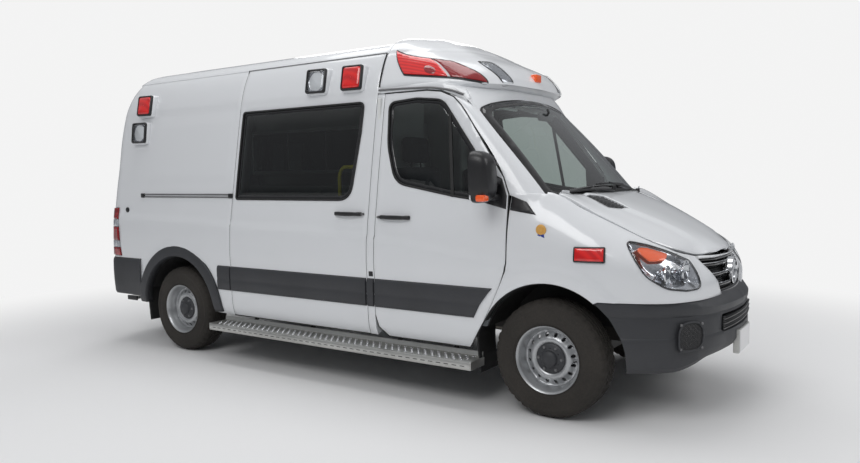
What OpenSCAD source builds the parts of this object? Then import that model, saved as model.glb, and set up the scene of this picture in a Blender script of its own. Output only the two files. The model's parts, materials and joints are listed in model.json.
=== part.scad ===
// Van ambulance with a raised roof, a front warning-light cap and hinged doors.
// X runs forward, Y to the left, Z up. The origin is on the ground, midway along and across.
// Inside the modules x is measured from the front axle: place() moves it to the row frame.

/* [Overall] */
// Distance between the front and rear axles
wheelbase = 3665; // [3250:5:4325]
// Front axle to the foremost point of the bumper
front_overhang = 1005; // [960:5:1050]
// Rear axle to the rear face of the body
rear_overhang = 1040; // [1000:5:1500]
// How far the rear step stands out behind the body
step_out = 110; // [60:5:200]
// Height of the body's lower edge above the ground
sill_z = 392; // [380:1:400]

/* [Wheels] */
// Outer radius of the tyres
tyre_r = 387; // [340:1:400]
// Width of the tyres
tyre_w = 235; // [195:1:245]
// Outer radius of the steel wheels
rim_r = 222; // [200:1:230]
// Distance between the left and right tyre centres
track = 1715; // [1680:1:1730]
// Round vent holes in each wheel disc
vent_holes = 16; // [8:1:20]
// Radius of the hub spigot that each wheel turns on
hub_r = 42; // [30:1:50]

/* [Walls] */
// Thickness of the body's side walls
wall = 55; // [40:1:65]
// Thickness of the roof
roof_t = 42; // [30:1:60]
// Thickness of each hinged door
door_t = 60; // [45:1:70]
// Gap around each moving panel
gap = 8; // [6:0.5:12]
// Thickness of the glass
glass_t = 5; // [4:0.5:8]
// Thickness of wings and bonnet
panel_t = 24; // [18:1:30]

/* [Hidden] */
$fn = 48;
seat = 0.3;                                  // between fixed pieces that rest on each other
run = 0.05;                                  // radial clearance of shafts that turn

axle_z = tyre_r;
total_l = front_overhang + wheelbase + rear_overhang + step_out;
front_x = total_l / 2 - front_overhang;      // the front axle in the row frame
rear_x = -wheelbase;                         // the rear axle from the front axle
tail_x = rear_x - rear_overhang;             // the body's rear face from the front axle
arch_r = tyre_r + 103;                       // wheel arch openings
liner_t = 8;                                 // wheel housing sheet
front_liner_y = 507;                         // inner faces of the wheel housings
rear_liner_y = 592;
wheel_y = track / 2;
kingpin_y = wheel_y - 85;
kingpin_r = 16;
floor_t = 60;
floor_z = sill_z + 218;                      // top of the floor
under_z = floor_z - floor_t;                 // underside of the floor
frame_depth = 125;                           // rear frame, along x

// Body side: [height, half width] from the sill to the roof rail
side_table = [[sill_z, 962], [470, 986], [600, 996], [880, 998], [1130, 990], [1420, 953],
    [1780, 897], [2150, 835], [2225, 822], [2380, 775], [2510, 715]];
rail_z = 2510;
rail_y = 715;
roof_crown = [[715, 2510], [650, 2575], [480, 2620], [250, 2652], [0, 2662]]; // [half width, height]
cab_roof_z = 2196;
function side_y(z) = lookup(z, side_table);

// Rear face: [height, how far it lies ahead of the tail]
tail_table = [[0, 0], [1400, 0], [1900, 22], [2250, 75], [2430, 140], [2560, 250], [2640, 420], [2700, 800]];
function tail_at(z) = tail_x + lookup(z, tail_table);

// Seams along the side, measured from the front axle
door_front_x = -284;
door_rear_x = -1372;
slide_front_x = -1446;
slide_rear_x = -2944;
cap_rear_x = -1420;
firewall_x = -230;
rear_door_half = 770;
rear_door_z = [sill_z + 228, 2330];
hinge_out = 8;                               // rear hinge axes stand out behind the tail by this

module place() { translate([front_x, 0, 0]) children(); }
module both() { children(); mirror([0, 1, 0]) children(); }
// 2D (x, z) outline drawn out across the right side, from y = 0 to -reach
module across(reach = 1300) { rotate([90, 0, 0]) linear_extrude(reach) children(); }
// 2D (y, z) outline drawn out along x from x0 to x1
module along(x0, x1) { translate([x0, 0, 0]) rotate([90, 0, 90]) linear_extrude(x1 - x0) children(); }
// 2D (x, y) outline drawn up from z0 to z1
module upward(z0, z1) { translate([0, 0, z0]) linear_extrude(z1 - z0) children(); }

// Closed skin between two grids of points: outer and inner, each a list of rows
module skin(outer, inner) {
    r = len(outer);
    c = len(outer[0]);
    n = r * c;
    function id(i, j) = i * c + j;
    pts = concat([for (row = outer) for (p = row) p], [for (row = inner) for (p = row) p]);
    quads = concat(
        [for (i = [0:r - 2]) for (j = [0:c - 2]) [id(i, j), id(i, j + 1), id(i + 1, j + 1), id(i + 1, j)]],
        [for (i = [0:r - 2]) for (j = [0:c - 2])
            [n + id(i, j), n + id(i + 1, j), n + id(i + 1, j + 1), n + id(i, j + 1)]],
        [for (j = [0:c - 2]) [id(0, j), n + id(0, j), n + id(0, j + 1), id(0, j + 1)]],
        [for (j = [0:c - 2]) [id(r - 1, j), id(r - 1, j + 1), n + id(r - 1, j + 1), n + id(r - 1, j)]],
        [for (i = [0:r - 2]) [id(i, 0), id(i + 1, 0), n + id(i + 1, 0), n + id(i, 0)]],
        [for (i = [0:r - 2]) [id(i, c - 1), n + id(i, c - 1), n + id(i + 1, c - 1), id(i + 1, c - 1)]]);
    faces = [for (q = quads) for (t = [[q[0], q[1], q[2]], [q[0], q[2], q[3]]]) t];
    polyhedron(pts, faces);
}

// ---------- body shell ----------
// Side wall between insets a and b, from height z0 to z1, on the right side
module side_ring(a, b, z0, z1, x0, x1) {
    zs = concat([z0], [for (p = side_table) if (p[0] > z0 + 1 && p[0] < z1 - 1) p[0]], [z1]);
    outer = [for (z = zs) [-(side_y(z) - a), z]];
    inner = [for (i = [len(zs) - 1:-1:0]) [-(side_y(zs[i]) - b), zs[i]]];
    along(x0, x1) polygon(concat(outer, inner));
}

// Whole body section in (y, z), inset by t
module section(t = 0) {
    zs = [for (p = side_table) p[0]];
    right = [for (z = zs) [-(side_y(z) - t), z]];
    crown_r = [for (i = [1:len(roof_crown) - 1]) [-roof_crown[i][0] * (rail_y - t) / rail_y,
        roof_crown[i][1] - t]];
    crown_l = [for (i = [len(roof_crown) - 2:-1:1]) [roof_crown[i][0] * (rail_y - t) / rail_y,
        roof_crown[i][1] - t]];
    left = [for (i = [len(zs) - 1:-1:0]) [side_y(zs[i]) - t, zs[i]]];
    polygon(concat(right, crown_r, crown_l, left));
}

// Rear band in (x, z): from inset a to b ahead of the tail surface
module tail_band(a, b, z0, z1) {
    zs = concat([z0], [for (p = tail_table) if (p[0] > z0 + 1 && p[0] < z1 - 1) p[0]], [z1]);
    polygon(concat([for (z = zs) [tail_at(z) + a, z]],
        [for (i = [len(zs) - 1:-1:0]) [tail_at(zs[i]) + b, zs[i]]]));
}

module wheel_arch(x, y0 = 600, grow = 0) {
    translate([x, -y0, axle_z]) rotate([90, 0, 0]) cylinder(r = arch_r + grow, h = 1300 - y0, $fn = 96);
}
module both_arches(grow) {
    both() {
        wheel_arch(0, front_liner_y - grow, liner_t + grow);
        wheel_arch(rear_x, rear_liner_y - grow, liner_t + grow);
    }
}
// Everything ahead of the rear frame
module ahead_of_tail() {
    rotate([90, 0, 0]) translate([0, 0, -1300]) linear_extrude(2600)
        tail_band(frame_depth + seat, 5000, 0, 2700);
}

module window_outline() { // load space window in (x, z), on the sliding door
    polygon([[slide_rear_x + 44, 1402], [slide_rear_x + 44, 2142], [-1580, 2142], [-1550, 2110],
        [-1560, 1900], [-1600, 1600], [-1625, 1480], [-1665, 1425], [-1720, 1402]]);
}

module body_side_right() {
    color("white") {
        difference() {
            intersection() {
                side_ring(0, wall, sill_z, rail_z, tail_x, slide_rear_x - gap);
                ahead_of_tail();
            }
            wheel_arch(rear_x);
        }
        side_ring(0, wall, sill_z + 6, cab_roof_z - seat, slide_front_x + gap, door_rear_x - gap);
    }
}

module body_side_left() {
    color("white") mirror([0, 1, 0]) difference() {
        union() {
            side_ring(0, wall, sill_z, cab_roof_z - seat, cap_rear_x - 1, door_rear_x - gap);
            intersection() {
                side_ring(0, wall, sill_z, rail_z, tail_x, cap_rear_x);
                ahead_of_tail();
            }
        }
        wheel_arch(rear_x);
    }
}

module roof() {
    color("white") intersection() {
        along(tail_x, cap_rear_x - seat) difference() {
            section();
            section(roof_t);
            translate([-1100, 0]) square([2200, rail_z + seat]);
        }
        ahead_of_tail();
    }
}

module rear_frame() {
    color("white") difference() {
        intersection() {
            along(tail_x, tail_x + 900) section();
            rotate([90, 0, 0]) translate([0, 0, -1100]) linear_extrude(2200)
                tail_band(0, frame_depth, sill_z, 2660);
            upward(sill_z, 2700) polygon([[tail_x + 900, -1010], [tail_x + 70, -1010], [tail_x + 22, -960],
                [tail_x, -880], [tail_x, 880], [tail_x + 22, 960], [tail_x + 70, 1010], [tail_x + 900,
                    1010]]);
        }
        translate([tail_x - 50, -rear_door_half, rear_door_z[0]])
            cube([600, 2 * rear_door_half, rear_door_z[1] - rear_door_z[0]]);
        both() tail_light_box(seat);
    }
    color("white") both() rear_hinge_leaf(1);
}

// Rear door on the right: an outer layer to the seam and an inner layer set in from it
rear_window = [1420, 2090];
module rear_door_right() {
    y0 = -rear_door_half + gap;
    color("white") difference() {
        union() {
            translate([0, y0, 0]) mirror([0, 1, 0])
                across(-y0 - gap * 0.75) tail_band(0, 20, rear_door_z[0] + gap, rear_door_z[1] - gap);
            translate([0, y0 + 24, 0]) mirror([0, 1, 0])
                across(-y0 - 24 - gap * 0.75 - 24)
                    tail_band(20, door_t, rear_door_z[0] + gap + 20, rear_door_z[1] - gap - 20);
        }
        translate([tail_x - 60, y0 + 130, rear_window[0]]) cube([400, 500, rear_window[1] - rear_window[0]]);
    }
    color("white") rear_hinge_leaf(0);
}
module rear_door_glass_right() {
    y0 = -rear_door_half + gap;
    color([0.1, 0.12, 0.12, 0.6]) translate([0, y0 + 130, 0]) mirror([0, 1, 0]) across(500)
        tail_band(4, 4 + glass_t, rear_window[0], rear_window[1]);
}

// ---------- side doors ----------
module sliding_door() {
    color("white") difference() {
        union() {
            side_ring(0, 20, sill_z + 12, rail_z, slide_rear_x, slide_front_x);
            side_ring(20, wall, sill_z + 32, rail_z - 20, slide_rear_x + 20, slide_front_x - 20);
        }
        across() window_outline();
    }
}
module sliding_door_glass() {
    color([0.06, 0.07, 0.07, 0.7]) intersection() {
        side_ring(3, 3 + glass_t, 1300, 2300, slide_rear_x, slide_front_x);
        across() window_outline();
    }
}

// Barrel hinges stand just outside the skin. side 1 is the half fixed to the body, 0 the door's half
hinge_h = 25;
hinge_r = 5;
front_hinge = [door_front_x + gap / 2, 1001]; // x, half width
front_hinge_zs = [965, 1235];
module hinge_leaf(side) {
    for (z = front_hinge_zs) translate([front_hinge[0], -front_hinge[1],
        z + (side > 0 ? 0 : hinge_h + seat)]) {
        cylinder(r = hinge_r, h = hinge_h);
        translate([side > 0 ? 0 : -22, -hinge_r + 2, 0]) cube([22, 45, hinge_h]);
    }
}
rear_hinge_zs = [740, 1320];
module rear_hinge_leaf(side) {
    for (z = rear_hinge_zs) translate([tail_x - hinge_out, -(rear_door_half - gap / 2),
        z + (side > 0 ? 0 : hinge_h + seat)]) {
        cylinder(r = hinge_r, h = hinge_h);
        translate([-hinge_r, side > 0 ? -26 : 0, 0]) cube([hinge_r + hinge_out + 1, 26, hinge_h]);
    }
}

// Front door outline in (x, z), inset by d; the rear edge is upright and the front follows pillar and arch
module door_outline(d = 0) {
    offset(delta = -d) polygon([[door_rear_x, 2188], [door_rear_x, 560], [-1345, 470], [-1267, sill_z + 12],
        [-575, sill_z + 12], [-548, 440], [-497, 525], [-455, 594], [-380, 740], [-318, 875], [-294,
            942], [door_front_x, 1000],
        [door_front_x, 1450], [-330, 1560], [-640, 1985], [-700, 2060], [-770, 2125], [-880, 2170],
            [-1000, 2186]]);
}
module door_window_outline(d = 0) {
    offset(delta = -d) polygon([[-1322, 2080], [-1290, 2124], [-1150, 2128], [-960, 2112], [-860, 2086],
        [-770, 2030],
        [-470, 1616], [-470, 1411], [-716, 1446], [-1060, 1500], [-1125, 1522], [-1185, 1590]]);
}
module front_door_right() {
    color("white") difference() {
        union() {
            intersection() {
                side_ring(0, 20, sill_z + 8, 2195, door_rear_x, door_front_x);
                across() door_outline();
            }
            intersection() {
                side_ring(20, door_t, sill_z + 8, 2195, door_rear_x, door_front_x);
                across() door_outline(24);
            }
        }
        across() door_window_outline();
    }
    color("white") hinge_leaf(0);
}
module front_door_glass_right() {
    color([0.08, 0.09, 0.09, 0.5]) intersection() {
        side_ring(9, 9 + glass_t, 1380, 2140, door_rear_x, door_front_x);
        across() door_window_outline();
    }
}

// ---------- nose ----------
// Along x: half width of the wings, bonnet line height and half width, bonnet centre height
wing_y = [[-600, 996], [0, 992], [235, 985], [430, 955], [604, 895], [740, 800]];
line_z = [[-600, 1475], [-45, 1467], [289, 1312], [550, 1172], [701, 1091], [781, 1048], [892, 1040]];
line_y = [[-600, 905], [-250, 905], [-45, 850], [289, 797], [550, 725], [701, 600], [781, 420], [892, 0]];
bonnet_z = [[-60, 1500], [100, 1446], [300, 1375], [500, 1288], [700, 1186], [800, 1126], [892, 1064]];
// Across y: front and rear edges of the bonnet in plan
bonnet_front = [[0, 892], [200, 872], [420, 785], [600, 700], [720, 552]];
bonnet_rear = [[0, 105], [300, 98], [450, 76], [600, 50], [720, 5], [850, -38]];

wing_xs = [-580, -440, -276, -150, -45, 100, 235, 340, 430, 520, 604];
wing_ts = [0, 0.2, 0.4, 0.6, 0.75, 0.87, 1];
function wing_pt(x, t, inset) =
    let(top = lookup(x, line_z) - 6, z = sill_z + (top - sill_z) * t,
        w = lookup(x, wing_y), yt = lookup(x, line_y) + 6,
        base = min(w, side_y(z) - 2), k = max(0, (z - 950) / (top - 950)))
    [x, -(base + (yt - base) * pow(k, 2.4) - inset), z];

module wing_right() {
    color("white") difference() {
        intersection() {
            skin([for (x = wing_xs) [for (t = wing_ts) wing_pt(x, t, 0)]],
                [for (x = wing_xs) [for (t = wing_ts) wing_pt(x, t, panel_t)]]);
            across() polygon([[door_front_x + gap, 1464], [door_front_x + gap, 1000], [-286, 942],
                [-310, 872], [-372, 737], [-447, 591], [-489, 522], [-540, 437], [-560, sill_z + 5],
                [-380, sill_z + 5], [-380, 600], [215, bumper_top + seat], [598, bumper_top + seat],
                    [598, 1464]]);
        }
        wheel_arch(0);
        headlight_right(seat);
        bonnet_well();
    }
    hinge_leaf(1);
    bonnet_pin(bonnet_pin_r, 34);
}
module wings() { both() wing_right(); }
// Space inboard of a wing's inner face, for what fits against it
module inside_wing() {
    skin([for (x = wing_xs) [for (t = wing_ts) wing_pt(x, t, panel_t + seat)]],
        [for (x = wing_xs) [for (t = wing_ts) [x, -400, wing_pt(x, t, 0)[2]]]]);
}

bonnet_s = [-1, -0.9, -0.75, -0.5, -0.25, 0, 0.25, 0.5, 0.75, 0.9, 1];
function bonnet_pt(s, u, drop) =
    let(x0 = lookup(abs(s) * 850, bonnet_rear), x1 = lookup(abs(s) * 720, bonnet_front),
        x = x0 + (x1 - x0) * u, y = s * lookup(-38 + 590 * u, line_y),
        zc = lookup(x, bonnet_z), zl = lookup(x, line_z))
    [x, y, zc + (zl - zc) * pow(abs(s), 2.5) - drop];
bonnet_axis = [0, 1434];                     // x, z
bonnet_pin_r = 3;
module bonnet_pin(r, len) {
    translate([bonnet_axis[0], -lookup(bonnet_axis[0], line_y) + len - gap - 1, bonnet_axis[1]])
        rotate([90, 0, 0]) cylinder(r = r, h = len);
}
module bonnet() {
    color("white") difference() {
        skin([for (s = bonnet_s) [for (u = [0:0.125:1]) bonnet_pt(s, u, 0)]],
            [for (s = bonnet_s) [for (u = [0:0.125:1]) bonnet_pt(s, u, panel_t)]]);
        both() bonnet_pin(bonnet_pin_r + run, 44);
    }
}
// Clear space over the bonnet, out to the seam with each wing
module bonnet_well() {
    upward(950, 1600) polygon(concat([for (p = line_y) if (p[0] < 720 && p[0] > -300) [p[0], -(p[1] + gap)]],
        [[720, 0], [-250, 0]]));
}

// Headlight corners on the outer face, from the rear tip over the top to the bottom
lamp_pts = [[447, -925, 1160], [560, -800, 1128], [690, -640, 1062], [738, -575, 1030],
    [838, -585, 862], [760, -715, 866], [636, -850, 905]];
lamp_depth = 90;
module headlight_right(grow = 0) {
    corner = 2 + 2 * grow;
    color([0.8, 0.82, 0.82]) hull() for (p = lamp_pts) for (d = [0, lamp_depth])
        translate([p[0] - d * 0.8, p[1] + d * 0.6, p[2]]) cube(corner, center = true);
}
module headlights() { both() headlight_right(); }

// Bumper plan: [half width, x] of the outer face, from the nose to the wheel arch
bumper_top = 796;
bumper_t = 60;
bumper_plan = [[0, front_overhang - 10], [200, 985], [400, 945], [625, 860], [795, 740], [888, 604],
    [950, 430], [985, 250]];
plate_w = 310;
plate_h = 150;
plate_z = 468;
bumper_inner = [for (p = bumper_plan)
    [p[0] - (p[0] > 500 ? bumper_t * 0.9 : 0), p[1] - bumper_t * (p[0] < 700 ? 1 : 0.5)]];
bumper_rear = bumper_plan[len(bumper_plan) - 1];
module bumper_plan_half(plan, side) {
    polygon(concat([[bumper_rear[1] - 1, 0]], [for (p = plan) [max(bumper_rear[1] - 1, p[1]), -p[0]]],
        [[bumper_rear[1] - 1, -side]]));
}
module front_bumper() {
    color([0.13, 0.14, 0.15]) difference() {
        union() {
            both() intersection() {
                upward(340, bumper_top) difference() {
                    bumper_plan_half(bumper_plan, bumper_rear[0]);
                    bumper_plan_half(bumper_inner, bumper_rear[0] - bumper_t * 0.9);
                }
                across() polygon([[250, bumper_top], [250, 352], [500, 356], [900, 440], [1010, 440],
                    [1010, bumper_top]]);
            }
            translate([945, -plate_w / 2, plate_z - plate_h / 2]) cube([front_overhang - 945, plate_w,
                plate_h]);
        }
        both() wheel_arch(0);
        both() headlight_right(seat);
        for (s = [-1, 1]) translate([900, s * plate_hole_gap / 2, plate_z]) rotate([0, 90, 0])
            cylinder(r = plate_hole_r, h = 200);
    }
}
plate_hole_gap = 178;
plate_hole_r = 3.3;

grille_rows = [[805, 300, 930], [900, 380, 905], [1000, 440, 888], [1036, 452, 880]]; // z, half width, x
module grille_skin(depth) {
    skin([for (r = grille_rows) [for (s = [0, 0.5, 0.8, 1]) [r[2] - 70 * s * s, -r[1] * s, r[0]]]],
        [for (r = grille_rows) [for (s = [0, 0.5, 0.8, 1]) [r[2] - 70 * s * s - depth, -r[1] * s, r[0]]]]);
}
module grille() {
    color([0.08, 0.08, 0.09]) both() grille_skin(50);
    // white surround between grille and headlight
    color("white") both() difference() {
        skin([for (r = grille_rows) [for (s = [0, 1])
                [r[2] - 70 - 22 * s, -r[1] - 1 - s * 125, r[0] - s * 14]]],
            [for (r = grille_rows) [for (s = [0, 1])
                [r[2] - 120 - 22 * s, -r[1] - 1 - s * 125, r[0] - s * 14]]]);
        headlight_right(seat);
    }
}

// ---------- windscreen and cab frame ----------
screen_top = [-560, 2150];
screen_bot = [98, 1462];
screen_bow_r = 3400;
screen_slope = atan2(screen_top[1] - screen_bot[1], screen_top[0] - screen_bot[0]);
// Part of a cylinder whose axis runs along the screen's slope, so that it bows forward
module screen_cylinder(inset) {
    translate([screen_bot[0], 0, screen_bot[1]]) rotate([0, 90 - screen_slope, 0])
        translate([-screen_bow_r, 0, -200]) cylinder(r = screen_bow_r - inset, h = 1400, $fn = 480);
}
module screen_ring(a, b) {
    difference() {
        screen_cylinder(a);
        screen_cylinder(b);
    }
}
module screen_outline(d = 0) { // half outline in (y, z)
    polygon([[0, 1478 - d], [-(835 + d), 1478 - d], [-(770 + d), 2128 + d], [0, 2150 + d]]);
}
module windscreen() {
    color([0.6, 0.7, 0.68, 0.4]) both() intersection() {
        screen_ring(0, glass_t);
        along(-900, 300) screen_outline();
    }
}
shelf_z = 1330;
module cab_frame() {
    color("white") difference() {
        union() {
            // pillars and header round the screen
            intersection() {
                screen_ring(2, 62);
                along(-900, 150) section();
                rotate([90, 0, 0]) translate([0, 0, -1100]) linear_extrude(2200)
                    polygon([[-276, 1466], [-276, 1478], [-322, 1565], [-632, 1990], [-692, 2066],
                        [-763, 2132], [-800, cab_roof_z + 4], [-400, cab_roof_z + 4], [150, 1478], [150,
                            1466]]);
            }
            // scuttle below the screen
            intersection() {
                screen_ring(45, 100);
                translate([-400, -835, shelf_z]) cube([700, 1670, 150]);
                along(-400, 300) section(30);
            }
            translate([firewall_x, -840, shelf_z]) cube([130, 1680, 15]);
            translate([firewall_x, -620, shelf_z]) cube([300, 1240, 15]);
            // firewall
            translate([firewall_x, -780, floor_z]) cube([14, 1560, shelf_z - floor_z]);
            // cab roof
            along(cap_rear_x, -760) polygon([[-800, cab_roof_z], [-822, 2225], [822, 2225], [800,
                cab_roof_z]]);
        }
        both() along(-1000, 300) screen_outline(seat);
        // room for the bonnet's rear edge below the glass
        intersection() {
            screen_ring(-10, 45);
            translate([-400, -835, 1440]) cube([700, 1670, 38]);
        }
        both_arches(seat);
    }
}

// ---------- wheel housings ----------
module housing(x, y_in, y_out) {
    difference() {
        wheel_arch(x, y_in, liner_t);
        wheel_arch(x, y_in + liner_t);
        translate([x - 700, -1400, 0]) cube([1400, 1400, under_z]);
        translate([x - 700, -1400 - y_out, 0]) cube([1400, 1400, 2000]);
    }
}
module wheel_housings() {
    color([0.15, 0.15, 0.15]) both() {
        intersection() {
            housing(rear_x, rear_liner_y, 1000);
            along(rear_x - 600, rear_x + 600) section(wall + seat);
        }
        difference() {
            intersection() {
                housing(0, front_liner_y, 1000);
                inside_wing();
            }
            translate([200, -1400, 0]) cube([600, 1400 - 850, bumper_top + seat]);
            translate([-800, -1400, 0]) cube([800 + door_front_x + gap, 1400 - 900, 1400]);
        }
    }
}

// ---------- roof cap ----------
cap_slices = [ // z, then [x, half width] from front to rear
    [2228, [[-505, 0], [-535, 400], [-610, 600], [-790, 765], [-1200, 822], [cap_rear_x, 826]]],
    [2370, [[-600, 0], [-632, 400], [-720, 575], [-900, 710], [-1250, 772], [cap_rear_x, 782]]],
    [2480, [[-800, 0], [-850, 400], [-950, 540], [-1100, 655], [-1300, 712], [cap_rear_x, 732]]],
    [2680, [[-1250, 0], [-1290, 300], [-1360, 440], [cap_rear_x, 470]]]];
module cap_hull(inset) {
    hull() for (s = cap_slices) translate([0, 0, s[0] - (s[0] > 2600 ? inset : 0)]) linear_extrude(1)
        polygon(concat([for (p = s[1]) [p[0] - (p[0] > cap_rear_x ? inset : 0), -max(0, p[1] - inset)]],
            [for (i = [len(s[1]) - 1:-1:0]) [s[1][i][0] - (s[1][i][0] > cap_rear_x ? inset : 0), max(0,
                s[1][i][1] - inset)]]));
}
module roof_cap() {
    color("white") difference() {
        cap_hull(0);
        translate([-30, 0, -2]) cap_hull(30);
    }
}

// ---------- lights ----------
// Square side lights: x, z and lean of each one's centre
side_lights = [[-2050, 2338, 10], [-1680, 2334, 10], [-4300, 2284, 10], [-4310, 2026, 6]];
side_light_w = 200;
module side_light(x, z, lean, depth0, depth1) {
    translate([x, -side_y(z), z]) rotate([90 - lean, 0, 0]) translate([0, 0, depth0])
        linear_extrude(depth1 - depth0) square(side_light_w, center = true);
}
// Outline of the cap's side and front lights in (x, z) and (y, z)
module cap_side_light() {
    polygon([[-1267, 2520], [-1148, 2321], [-560, 2243], [-640, 2370], [-721, 2400]]);
}
module cap_front_light() {
    polygon([[-450, 2300], [-200, 2285], [-200, 2400], [-400, 2420]]);
}
module warning_lights() {
    color("red") both() {
        difference() {
            intersection() {
                cap_hull(-14);
                across() cap_side_light();
            }
            cap_hull(-seat);
        }
        difference() {
            intersection() {
                cap_hull(-14);
                along(-900, -400) cap_front_light();
            }
            cap_hull(-seat);
        }
        difference() {
            for (l = side_lights) side_light(l[0], l[1], l[2], -30, 62);
            along(tail_x, 0) section(-seat);
        }
    }
}
module tail_light_box(grow = 0) {
    translate([tail_x - 5, -1000, 850 - grow]) cube([70 + grow, 60 + grow, 275 + 2 * grow]);
}
module tail_lights() {
    color("red") both() intersection() {
        tail_light_box();
        upward(sill_z, 2700) polygon([[tail_x + 900, -1010], [tail_x + 70, -1010], [tail_x + 22, -960],
            [tail_x, -880], [tail_x, 0], [tail_x + 900, 0]]);
        along(tail_x, tail_x + 200) section();
    }
}

// ---------- steps, flaps, mirrors ----------
step_top = 335;
side_step_w = 190;
side_step_y = 910;
module rear_step() {
    color("silver") {
        translate([tail_x - step_out, -760, sill_z - 36 - seat]) cube([step_out + 90, 1520, 36]);
    }
}
module side_steps() {
    color("silver") both() {
        translate([-3120, -side_step_y - side_step_w, step_top - 42]) cube([2620, side_step_w, 42]);
        for (x = [-2900, -1900, -900]) {
            translate([x, -side_step_y - 1, step_top - 36]) cube([50, 81, 36]);
            translate([x, -side_step_y + 30, step_top - 36]) cube([50, 50, under_z - seat - step_top + 36]);
        }
    }
}
module mudflaps() {
    color([0.1, 0.1, 0.1]) both() {
        translate([rear_x - arch_r - liner_t - 6, -900, 235]) cube([12, 165, under_z - seat - 235]);
        translate([-arch_r - 26, -900, 235]) cube([12, 180, under_z - seat - 235]);
    }
}
mirror_x = -440;
module mirror_right() {
    color([0.12, 0.12, 0.13]) {
        hull() {
            translate([mirror_x, -1200, 1392]) cube([20, 215, 345]);
            translate([mirror_x + 20, -1207, 1385]) cube([40, 229, 356]);
            translate([mirror_x + 90, -1160, 1430]) cube([30, 140, 250]);
        }
        translate([mirror_x + 40, -1010, 1400]) cube([90, 1010 - side_y(1400) - seat, 55]);
    }
}

// ---------- underbody ----------
rail_in = 395;
rail_w = 70;
rail_z0 = 450;
cross_xs = [tail_x + 305, -3100, -2200, -1300, 500];
bay_w = 70;
cot_x = -3700;                               // stretcher floor plate bolts
cot_gap = [800, 300];
cot_hole_r = 5.5;
module floor() {
    color("gray") difference() {
        union() {
            intersection() {
                translate([tail_x + frame_depth + seat, -1000, under_z])
                    cube([cap_rear_x - tail_x - frame_depth - seat, 2000, floor_t]);
                along(tail_x, 0) section(wall + seat);
            }
            intersection() {
                translate([cap_rear_x - 1, -1000, under_z])
                    cube([firewall_x - seat - cap_rear_x + 1, 2000, floor_t]);
                along(tail_x, 0) section(door_t + 12);
            }
            // floor reaches the pillars between the doors
            intersection() {
                translate([slide_front_x + gap, -1000, under_z])
                    cube([door_rear_x - slide_front_x - 2 * gap, 2000, floor_t]);
                along(tail_x, 0) section(wall + seat);
            }
        }
        both_arches(seat);
        for (i = [-1, 1]) for (j = [-1, 1])
            translate([cot_x + i * cot_gap[0] / 2, j * cot_gap[1] / 2, under_z - 1])
                cylinder(r = cot_hole_r, h = floor_t + 2);
    }
}
module chassis_frame() {
    color([0.2, 0.2, 0.2]) {
        both() translate([tail_x + frame_depth + seat, -rail_in - rail_w, rail_z0])
            cube([lookup(rail_in + rail_w, bumper_inner) - tail_x - frame_depth - 2 * seat, rail_w,
                under_z - seat - rail_z0]);
        for (x = cross_xs) translate([x, -rail_in - 1, rail_z0 + 20]) cube([bay_w, 2 * rail_in + 2, 60]);
        // front support for the grille and lights
        both() translate([700, -rail_in - rail_w, under_z - 1]) cube([40, rail_w, 400]);
        translate([700, -rail_in - rail_w, under_z + 360]) cube([40, 2 * (rail_in + rail_w), 39]);
    }
}
engine_x = -200;
module engine() { color([0.3, 0.3, 0.3]) translate([engine_x, -290, 430]) cube([660, 580, 620]); }
module fuel_tank() { color([0.15, 0.15, 0.15]) translate([-2100, 480, under_z - seat - 200]) cube([750,
    330, 200]); }
exhaust_y = -300;
exhaust_z = 420;
module exhaust() {
    color("silver") {
        translate([-3000, exhaust_y, exhaust_z]) rotate([0, 90, 0]) cylinder(r = 90, h = 600);
        translate([-2400, exhaust_y, exhaust_z]) rotate([0, 90, 0]) cylinder(r = 30, h = 2000);
        for (x = [-2900, -2520, -1500, -700]) translate([x, exhaust_y - 10, exhaust_z + 20])
            cube([20, 20, under_z - seat - exhaust_z - 20]);
    }
}
module front_axle() {
    color([0.2, 0.2, 0.2]) {
        translate([-110, -560, 290]) cube([220, 1120, 90]);
        translate([-110, -250, 375]) cube([220, 500, 430 - seat - 375]);
        both() translate([-50, -rail_in - rail_w, 375]) cube([100, rail_w, rail_z0 - seat - 375]);
        // forks above and below each knuckle, with the kingpin through them
        both() for (z = [axle_z - 151, axle_z + 126])
            translate([-30, -kingpin_y - 30, z]) cube([60, kingpin_y + 30 - 560, 25]);
        both() translate([-30, -600, axle_z - 151]) cube([60, 45, 302]);
        both() translate([0, -kingpin_y, axle_z - 140]) cylinder(r = kingpin_r, h = 280);
    }
}
module knuckle_right() {
    color([0.35, 0.35, 0.35]) difference() {
        union() {
            translate([-50, -kingpin_y - 35, axle_z - 120]) cube([100, 65, 240]);
            translate([0, -kingpin_y - 30, axle_z]) rotate([90, 0, 0])
                cylinder(r = hub_r - run, h = wheel_y + 50 - kingpin_y - 30);
        }
        translate([0, -kingpin_y, axle_z - 130]) cylinder(r = kingpin_r + run, h = 260);
    }
}
spring_y = 490;
module rear_axle() {
    color([0.2, 0.2, 0.2]) translate([rear_x, 0, axle_z]) {
        translate([0, wheel_y - 90, 0]) rotate([90, 0, 0]) cylinder(r = 52, h = track - 180);
        sphere(r = 150);
        both() translate([0, -(wheel_y - 91), 0]) rotate([90, 0, 0]) cylinder(r = hub_r - run, h = 141);
        both() translate([-700, -spring_y - 70, 48]) cube([1400, 70, 30]);
        both() for (x = [-700, 660]) translate([x, -spring_y - 70, 60]) cube([40, 70,
            under_z - seat - axle_z - 60]);
        translate([100, 0, 40]) rotate([0, 90, 0]) cylinder(r = 38, h = engine_x - seat - rear_x - 100);
    }
}

// ---------- wheels ----------
module wheel_at(x, side) { translate([x, side * wheel_y, axle_z]) mirror([0, side > 0 ? 1 : 0, 0])
    rotate([90, 0, 0]) children(); }
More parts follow.
